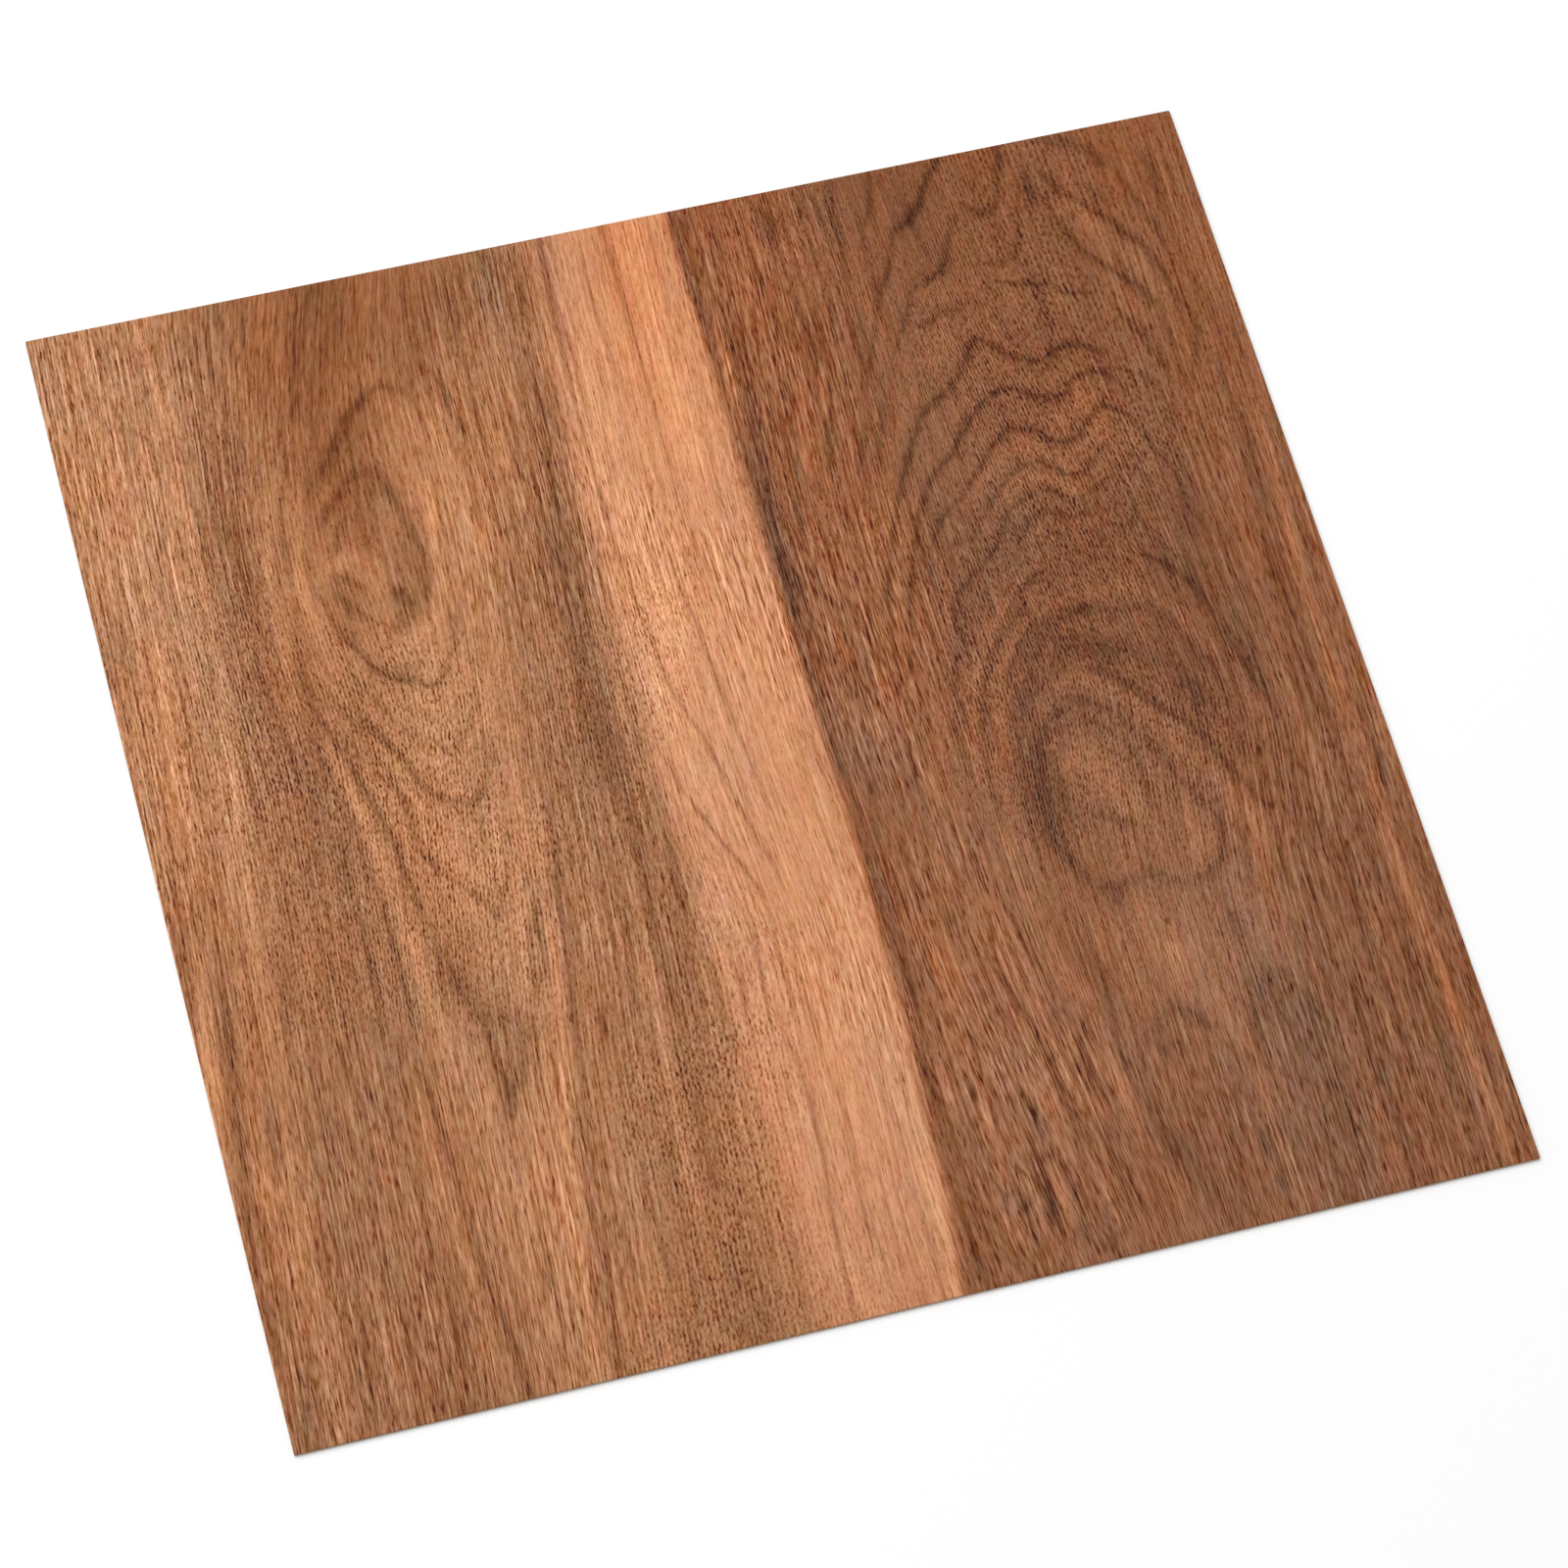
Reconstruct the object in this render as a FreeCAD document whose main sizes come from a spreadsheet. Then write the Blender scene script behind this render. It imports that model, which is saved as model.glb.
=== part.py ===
import FreeCAD, Part
import os

import Sketcher

# Vinyl floor tile: one square of flexible sheet, punched whole from a wide sheet, printed face up.
# Frame: the origin is the middle of the underside, +Z is up and the grain of the print runs
# along Y. All lengths are in millimetres.

NODE = "vinyl_tile"
PARTS = "parts"

# The driving dimensions: alias, value and what it is
DIMENSIONS = {
    "TileWidth": (305.0, "across the grain, from cut side to cut side"),
    "TileLength": (305.0, "along the grain, from cut side to cut side"),
    "SheetThickness": (1.2, "from the underside to the face of the wear layer"),
    "CornerRadius": (0.4, "of the four upright corners, left by the punch's own corners"),
    "RolloverRadius": (0.25, "of the face's rim, which the punch drags down as it enters"),
}

TOLERANCE = 1e-6


def make_sheet(doc):
    """The spreadsheet of driving dimensions, one row for each."""
    sheet = doc.addObject("Spreadsheet::Sheet", "Dimensions")
    for row, (alias, (value, words)) in enumerate(DIMENSIONS.items(), start=1):
        sheet.set(f"A{row}", alias)
        sheet.set(f"B{row}", str(value))
        sheet.set(f"C{row}", words)
        sheet.setAlias(f"B{row}", alias)
    doc.recompute()
    return sheet


def origin_plane(body, role):
    """The body's own origin plane that has this role."""
    return next(plane for plane in body.Origin.OriginFeatures if plane.Role == role)


def bind(sketch, kind, line, alias):
    """Gives a line of the sketch the length that the sheet holds under the alias."""
    value = DIMENSIONS[alias][0]
    index = sketch.addConstraint(Sketcher.Constraint(kind, line, 1, line, 2, value))
    sketch.renameConstraint(index, alias)
    sketch.setExpression(f"Constraints.{alias}", f"Dimensions.{alias}")


def draw_outline(sketch):
    """The punched outline: a rectangle centred on the origin, drawn anticlockwise."""
    half_x = DIMENSIONS["TileWidth"][0] / 2
    half_y = DIMENSIONS["TileLength"][0] / 2
    signs = [(-1, -1), (1, -1), (1, 1), (-1, 1)]
    corners = [FreeCAD.Vector(sx * half_x, sy * half_y, 0) for sx, sy in signs]
    front, right, back, left = range(4)
    for line in (front, right, back, left):
        sketch.addGeometry(Part.LineSegment(corners[line], corners[(line + 1) % 4]), False)
    for line in (front, right, back, left):
        sketch.addConstraint(Sketcher.Constraint("Coincident", line, 2, (line + 1) % 4, 1))
    for line in (front, back):
        sketch.addConstraint(Sketcher.Constraint("Horizontal", line))
    for line in (right, left):
        sketch.addConstraint(Sketcher.Constraint("Vertical", line))
    # The outline's front-left and back-right corners mirror each other through the origin
    sketch.addConstraint(Sketcher.Constraint("Symmetric", front, 1, right, 2, -1, 1))
    bind(sketch, "DistanceX", front, "TileWidth")
    bind(sketch, "DistanceY", right, "TileLength")


def edges_where(shape, test):
    """The names of the shape's edges whose bounding box passes the test."""
    return [f"Edge{i}" for i, edge in enumerate(shape.Edges, start=1) if test(edge.BoundBox)]


def is_upright(box):
    return box.XLength < TOLERANCE and box.YLength < TOLERANCE


def make_tile(doc):
    """The tile: a padded outline, its four upright corners, then the rim of its face."""
    body = doc.addObject("PartDesign::Body", "Tile")
    body.Label = NODE

    outline = body.newObject("Sketcher::SketchObject", "Outline")
    outline.AttachmentSupport = [(origin_plane(body, "XY_Plane"), "")]
    outline.MapMode = "FlatFace"
    draw_outline(outline)

    slab = body.newObject("PartDesign::Pad", "Slab")
    slab.Profile = outline
    slab.setExpression("Length", "Dimensions.SheetThickness")
    doc.recompute()

    corners = body.newObject("PartDesign::Fillet", "PunchCorners")
    corners.Base = (slab, edges_where(slab.Shape, is_upright))
    corners.setExpression("Radius", "Dimensions.CornerRadius")
    doc.recompute()

    face = corners.Shape.BoundBox.ZMax
    rim = edges_where(corners.Shape, lambda box: box.ZMin > face - TOLERANCE)
    rollover = body.newObject("PartDesign::Fillet", "Rollover")
    rollover.Base = (corners, rim)
    rollover.setExpression("Radius", "Dimensions.RolloverRadius")
    doc.recompute()
    body.Tip = rollover
    return body


def check(doc, bodies):
    """Stops if any object failed, or if a sub-part isn't one valid solid."""
    for thing in doc.Objects:
        if {"Invalid", "Error"} & set(thing.State):
            raise RuntimeError(f"{thing.Label} failed: {thing.State}")
    for body in bodies:
        shape = body.Shape
        if shape.isNull() or not shape.isValid() or len(shape.Solids) != 1:
            raise RuntimeError(f"{body.Label} is not one valid solid")


def main():
    doc = FreeCAD.newDocument("VinylFloorTile")
    make_sheet(doc)
    bodies = [make_tile(doc)]
    doc.recompute()
    check(doc, bodies)
    os.makedirs(PARTS, exist_ok=True)
    for body in bodies:
        body.Shape.exportStep(os.path.join(PARTS, body.Label + ".step"))
        box = body.Shape.BoundBox
        print(f"{body.Label}: {box.XLength:.2f} x {box.YLength:.2f} x {box.ZLength:.2f} mm")
        print(f"{body.Shape.Volume / 1000:.2f} cm3, {len(body.Shape.Faces)} faces")


main()
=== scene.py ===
import math

import bpy
import numpy as np
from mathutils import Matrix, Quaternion, Vector


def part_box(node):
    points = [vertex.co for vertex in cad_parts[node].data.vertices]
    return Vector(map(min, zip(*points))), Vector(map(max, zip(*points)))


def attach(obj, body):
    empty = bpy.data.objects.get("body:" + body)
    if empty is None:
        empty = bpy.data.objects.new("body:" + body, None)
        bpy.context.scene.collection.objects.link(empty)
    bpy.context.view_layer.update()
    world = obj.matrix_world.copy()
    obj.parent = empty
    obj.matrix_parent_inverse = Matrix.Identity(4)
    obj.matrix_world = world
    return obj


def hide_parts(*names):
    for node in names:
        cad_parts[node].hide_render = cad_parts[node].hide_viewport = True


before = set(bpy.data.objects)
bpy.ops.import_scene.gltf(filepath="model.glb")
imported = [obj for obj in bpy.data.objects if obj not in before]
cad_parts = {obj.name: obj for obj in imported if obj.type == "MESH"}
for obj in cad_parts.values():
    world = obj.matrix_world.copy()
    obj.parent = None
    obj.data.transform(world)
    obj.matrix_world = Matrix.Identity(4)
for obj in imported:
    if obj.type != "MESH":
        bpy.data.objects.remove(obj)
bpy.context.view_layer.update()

# The looks of the vinyl floor tile. The CAD slab is replaced by a mesh of the same size that is fine
# enough to carry the figure of the printed wood: its growth bands, two knots and the pale stripe.
# The figure is drawn below as soft brush strokes, and the finer grain, ticks and patches of
# colour come from noise in the material. Lengths are in metres, or millimetres where a name says so.

NODE = "vinyl_tile"
BODY = "root"
MM = 0.001

# The tile, as the frame gives it, and the small radii of its punched edge
LOW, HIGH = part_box(NODE)
WIDTH = HIGH.x - LOW.x
LENGTH = HIGH.y - LOW.y
THICKNESS = HIGH.z - LOW.z
ROLLOVER = 0.25 * MM
CORNER = 0.4 * MM
FACE_COLUMNS = 376
FACE_ROWS = 240
ROLLOVER_STEPS = 3
CORNER_STEPS = 4

# The print is laid out in dots: DOTS of them to a side, x from the left edge and y from the back
DOTS = 1568.0
DOT_MM = WIDTH / MM / DOTS

# White in display levels
WHITE = 255.0

# Where the pale stripe of sapwood starts and ends: y, then x, and how soft its left side is
PALE_LEFT = [
    (0, 676), (200, 664), (400, 652), (600, 644), (800, 645), (880, 650), (950, 655), (1050, 656),
    (1150, 648), (1250, 648), (1350, 650), (1568, 654),
]
PALE_LEFT_SOFT = [(0, 30), (300, 16), (1568, 26)]
PALE_RIGHT = [
    (0, 860), (150, 862), (400, 861), (550, 860), (700, 860), (850, 860), (1000, 860), (1130, 853),
    (1200, 855), (1300, 849), (1400, 844), (1480, 836), (1568, 827),
]
PALE_RIGHT_SOFT = 9.0

# The ground tones that the strokes lighten or darken, in display levels
LEFT_GROUND = 122.0
PALE_GROUND = 152.0
RIGHT_GROUND = 99.5

# The mean colour of each wood, and which way its colour moves as it gets lighter
LEFT_MEAN = (170, 116, 81)
LEFT_WAY = (1.22, 0.99, 0.79)
PALE_MEAN = (209, 145, 106)
PALE_WAY = (1.15, 1.06, 0.79)
RIGHT_MEAN = (139, 91, 64)
RIGHT_WAY = (1.44, 0.93, 0.63)
FINE_WAY = (1.03, 1.0, 0.98)
HUE_WAY = (0.6, -0.3, -0.75)
OLIVE_WAY = (-0.45, 0.5, -0.35)

# How the fibres lean: x, y and degrees, where a minus goes left on the way down. A hint's reach is
# in dots, and so are the step and the margin of the grid that the fibres are followed on.
SLANT_REACH = 70.0
FIBRE_STEP = 8.0
FIBRE_MARGIN = 400
FIBRE_SLANTS = [
    (-200, 400, 0), (-200, 1200, 0), (1768, 400, -2), (1768, 1200, -2), (40, 200, -2), (40, 700, -2),
    (40, 1300, -3), (180, 150, -2), (180, 500, -1), (180, 900, -3), (180, 1400, -3), (340, 60, -16),
    (330, 180, -14), (300, 350, -8), (286, 450, 2), (300, 530, 10), (330, 600, 6), (250, 300, -6),
    (240, 450, 0), (240, 600, 2), (380, 680, -10), (370, 850, -10), (300, 800, -4), (420, 250, 0),
    (470, 300, 2), (480, 450, -4), (450, 580, -10), (470, 800, -6), (540, 300, -2), (540, 600, -4),
    (540, 900, -4), (440, 1100, -8), (400, 1350, -5), (320, 1200, -2), (260, 1300, -2), (550, 1300, -3),
    (600, 150, -4), (600, 500, -3), (600, 800, -2), (600, 1200, -3), (700, 200, -2), (700, 600, 1),
    (730, 900, 4), (700, 1300, -2), (800, 200, -3), (800, 700, 0), (800, 1300, -3), (920, 200, -3),
    (930, 600, 0), (930, 1000, 1), (1040, 60, 0), (1040, 250, -1), (1040, 400, -4), (1040, 700, 1),
    (1000, 1230, 6), (1020, 1350, 7), (930, 1400, 3), (1200, 100, 4), (1290, 160, 2), (1280, 300, 11),
    (1200, 450, 6), (1250, 640, 5), (1200, 950, -8), (1300, 1000, -8), (1120, 1100, 2), (1150, 1260, -2),
    (1250, 1300, 0), (1250, 1500, 0), (1400, 300, 0), (1400, 700, 4), (1500, 300, -2), (1500, 700, -2),
    (1500, 1200, -2), (1400, 1400, -2),
]

# How short the ticks are, from 0 long to 1 short: x, y and share
HINT_REACH = 60.0
TICK_LENGTHS = [
    (40, 200, 0.3), (40, 600, 0.4), (40, 900, 0.3), (40, 1400, 0.2), (180, 200, 0.4), (180, 600, 0.8),
    (180, 900, 0.8), (180, 1200, 0.2), (180, 1450, 0.2), (340, 100, 0.1), (340, 350, 0.5), (380, 680, 1.0),
    (370, 850, 1.0), (360, 980, 0.9), (320, 1200, 0.2), (400, 1350, 0.1), (480, 300, 0.3), (520, 450, 0.2),
    (520, 700, 0.4), (500, 1000, 0.4), (595, 150, 0.3), (595, 700, 0.8), (580, 1000, 0.5), (580, 1300, 0.9),
    (580, 1480, 0.8), (760, 200, 0.4), (760, 800, 0.3), (760, 1350, 0.3), (930, 200, 0.1), (930, 700, 0.1),
    (930, 1100, 0.2), (1000, 1400, 0.0), (1040, 100, 0.5), (1060, 500, 0.4), (1150, 100, 0.8),
    (1280, 250, 1.0), (1280, 400, 1.0), (1200, 550, 1.0), (1250, 640, 1.0), (1150, 750, 0.9),
    (1200, 940, 0.9), (1220, 1100, 0.6), (1200, 1200, 0.4), (1280, 1450, 0.1), (1120, 1450, 0.1),
    (1420, 300, 0.5), (1400, 700, 0.5), (1500, 300, 0.5), (1500, 700, 0.1), (1450, 1100, 0.2),
    (1500, 1400, 0.1),
]

# How deep the ticks are, as a spread in display levels: x, y and level
TICK_DEPTHS = [
    (40, 200, 16), (40, 700, 17), (40, 1450, 13), (140, 400, 16), (180, 200, 15), (180, 900, 13),
    (200, 1200, 11.4), (340, 150, 8), (380, 30, 6), (395, 120, 6.5), (350, 330, 9), (372, 400, 6),
    (370, 470, 7), (370, 530, 10), (380, 680, 12), (380, 900, 12), (380, 1350, 11.2), (520, 450, 15),
    (520, 900, 14), (500, 1200, 12), (595, 200, 14), (595, 700, 14), (580, 1300, 10.5), (760, 200, 7.4),
    (760, 800, 7.2), (760, 1350, 7), (930, 200, 12), (930, 700, 13), (930, 1200, 11), (1000, 1450, 8.8),
    (1000, 1250, 10), (1280, 400, 9.4), (1100, 300, 10.2), (1310, 120, 6.8), (1340, 380, 8.4),
    (1250, 640, 9.2), (1200, 940, 9), (1200, 1200, 9), (1280, 1450, 8.5), (1400, 400, 10), (1400, 900, 10),
    (1500, 300, 8), (1500, 700, 8), (1500, 1300, 8.3),
]

# How the colour drifts along each board: a stroke of x, y, half-width and levels, more orange with a
# plus and greyer with a minus. The wood is warmest at the back, and greyest at the front right.
WARMTH = [
    [(310, -20, 75, 7), (310, 950, 75, 3)],
    [(500, -20, 85, 6), (500, 450, 70, 3)],
    [(45, 520, 60, 6), (45, 1450, 50, 4)],
    [(800, -20, 50, 13), (785, 650, 42, 3)],
    [(955, -20, 110, 10), (945, 800, 90, 2)],
    [(1235, -20, 105, 6), (1235, 370, 95, 1)],
    [(1490, -20, 120, 8), (1490, 650, 90, 3)],
    [(1260, 930, 125, -2), (1305, 1260, 135, -7), (1320, 1580, 135, -4)],
    [(868, 880, 16, 5), (858, 1510, 16, 6)],
]

# The brush: how far it reaches in half-widths, and the step along a stroke's curve in dots
BRUSH_REACH = 2.6
CURVE_STEP = 2.0

# A straight streak has this share of its level at both ends
STREAK_END = 0.4

# The dark lines. A stroke that darkens, and whose half-width stays below LINE_WIDEST, is drawn
# twice: in the soft tone at the share LINE_SOFT, and as a crisp core. The core is painted a little
# wider than the line, with its depth evened towards EVEN_LEVEL.
LINE_WIDEST = 9.5
LINE_SOFT = 0.45
LINE_SPREAD = 1.2
LINE_MARGIN = 2
EVEN_LEVEL = 12
EVEN_POWER = 0.65

# How far off a line its side is worked out, and what stands where no line is near, in half-widths;
# and how many dots past its last point a line is taken to be over
SIDE_REACH = 4.0
SIDE_FAR = 9.0
SIDE_END = 2

# How the material cuts the core to shape by that distance: its strength, how fast it falls off, and
# how much the ticks fray its sides and break it up
LINE_CORE = 1.5
LINE_SHARP = 0.85
LINE_FRAY = 0.8
LINE_FALL = -2.0
LINE_BREAK = 0.875
LINE_WAY = (1.2, 0.95, 0.85)

# The noises of the print: the size of a grain across and along the fibres, in millimetres, and a
# seed of its own for each
LONG_TICKS = (0.36, 3.8, 1)
SHORT_TICKS = (0.36, 1.3, 2)
HAIRS = (0.6, 30.0, 3)
THREADS = (1.3, 26.0, 4)
STREAKS = (4.2, 60.0, 5)
CLOUDS = (5.0, 14.0, 6)
PATCHES = (2.6, 7.0, 7)
WIDE_PATCHES = (14.0, 50.0, 8)
OLIVE_PATCHES = (3.2, 9.0, 9)
DIMPLES = (3.0, 5.0, 10)
LONG_WANDER = (1.6, 3.8, 11)
SHORT_WANDER = (1.6, 1.3, 12)
ROWS = (2.2, 30.0, 13)
GRAIN = (0.45, 0.45, 14)
SEED_STEP = 7.31

# How strongly they show. A gain multiplies the depth that the ticks have there, and a level is in
# display levels.
TICK_GAIN = 12.0
TICK_SHARE = 0.85
HATCH_PITCH_MM = 0.95
HATCH_WANDER = 5.0
HATCH_SHARE = 0.09
PORE_FROM = 0.04
PORE_GAIN = 18.0
PORE_LIFT = 0.24
ROW_SWING = 3.5
ROW_LEAST = 0.15
HAIR_GAIN = 13.0
SHORT_HAIR_SHARE = 0.3
GRAIN_LEVEL = 12.0
THREAD_LEVEL = 26.0
STREAK_LEVEL = 7.0
CLOUD_LEVEL = 3.0
PATCH_LEVEL = 18.0
WIDE_PATCH_LEVEL = 16.0
OLIVE_LEVEL = 18.0

# From display levels to light: the display's power, the darkest values kept, the share of the light
# that comes back, and what the sheen adds to every colour
DISPLAY_POWER = 2.2
DARKEST_DISPLAY = 0.02
DARKEST_LIGHT = 0.002
LIGHT_GAIN = 0.917
SHEEN_VEIL = 0.009

# Finish of the printed face
VINYL_IOR = 1.5
FACE_SPECULAR = 0.12
FACE_ROUGHNESS = 0.5
FACE_BUMP = 0.35
FACE_BUMP_DEPTH = 0.03 * MM
DIMPLE_SHARE = 0.6
TICK_GLOSS = -0.12
CLOUD_DULL = 1.2

# Finish of the cut side, filled vinyl under the dark film of the print: its noises as for the print,
# with what each adds to the shade, the height and the roughness
CORE_COLOR = (176, 156, 138)
FILM_COLOR = (112, 84, 66)
FILM_MM = 0.08
SCUFFS = (0.35, 1.6, 11)
SPECKLE = (0.12, 0.12, 12)
SPECKLE_HARSH = 0.7
SMEARS = (6.0, 2.0, 13)
SCUFF_SHADE = 0.30
SPECKLE_SHADE = 0.16
SMEAR_SHADE = 0.16
SPECKLE_HEIGHT = 0.5
CUT_BUMP = 0.5
CUT_BUMP_DEPTH = 0.02 * MM
CUT_ROUGHNESS = 0.62
SCUFF_DULL = 0.2

# Finish of the back, in the same way
BACK_COLOR = (168, 156, 142)
BACK_PITCH_MM = 1.6
SPECKS = (0.35, 0.35, 21)
SPECK_HARSH = 0.65
BACK_CLOUDS = (22.0, 34.0, 22)
DRAG = (0.9, 18.0, 23)
SPECK_SHADE = 0.14
BACK_CLOUD_SHADE = 0.10
DRAG_SHADE = 0.06
SPECK_HEIGHT = 0.8
BACK_BUMP = 0.5
BACK_BUMP_DEPTH = 0.03 * MM
BACK_ROUGHNESS = 0.66
SPECK_DULL = 0.1
PLAIN_SPECULAR = 0.3

# Which of the three materials a face of the mesh takes
FACE, EDGE, UNDER = range(3)

# The bake map, a unit square: the printed face has the big square, the back a strip to its right,
# and the four cut sides strips above it
BAKE_GAP = 0.006
BAKE_SQUARE = 0.89
BAKE_MARGIN = 0.905
BACK_STRIP = 0.089
SIDE_LENGTH = 0.98
SIDE_PITCH = 0.022
SIDE_STRIP = 0.016

# Keeps a division by zero away
TINY = 1e-9

# The studio, in metres and watts, and its floor in display levels
FLOOR_LEVEL = 242
FLOOR_MOTTLE = (400.0, 400.0, 31)
FLOOR_MOTTLE_SHADE = 0.004
FLOOR_HALF = 6.0
ROOM_STRENGTH = 0.49
PANEL_SIZE = 3.0
PANEL_POWER = 71.5
PANEL_PLACE = (-0.8, 0.9, 2.6)
CAMERA_PLACE = (-0.2072, -0.5425, 1.1658)
CAMERA_TARGET = (0.0022, -0.0136, 0.0012)
CAMERA_ROLL = 7.12
LENS_MM = 121.16
SENSOR_MM = 36.0

# The figure, as strokes of a soft brush. A stroke is a row of points: x, y, the brush's half-width
# and how many display levels it lightens the ground by, or darkens it where that is negative.

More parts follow.
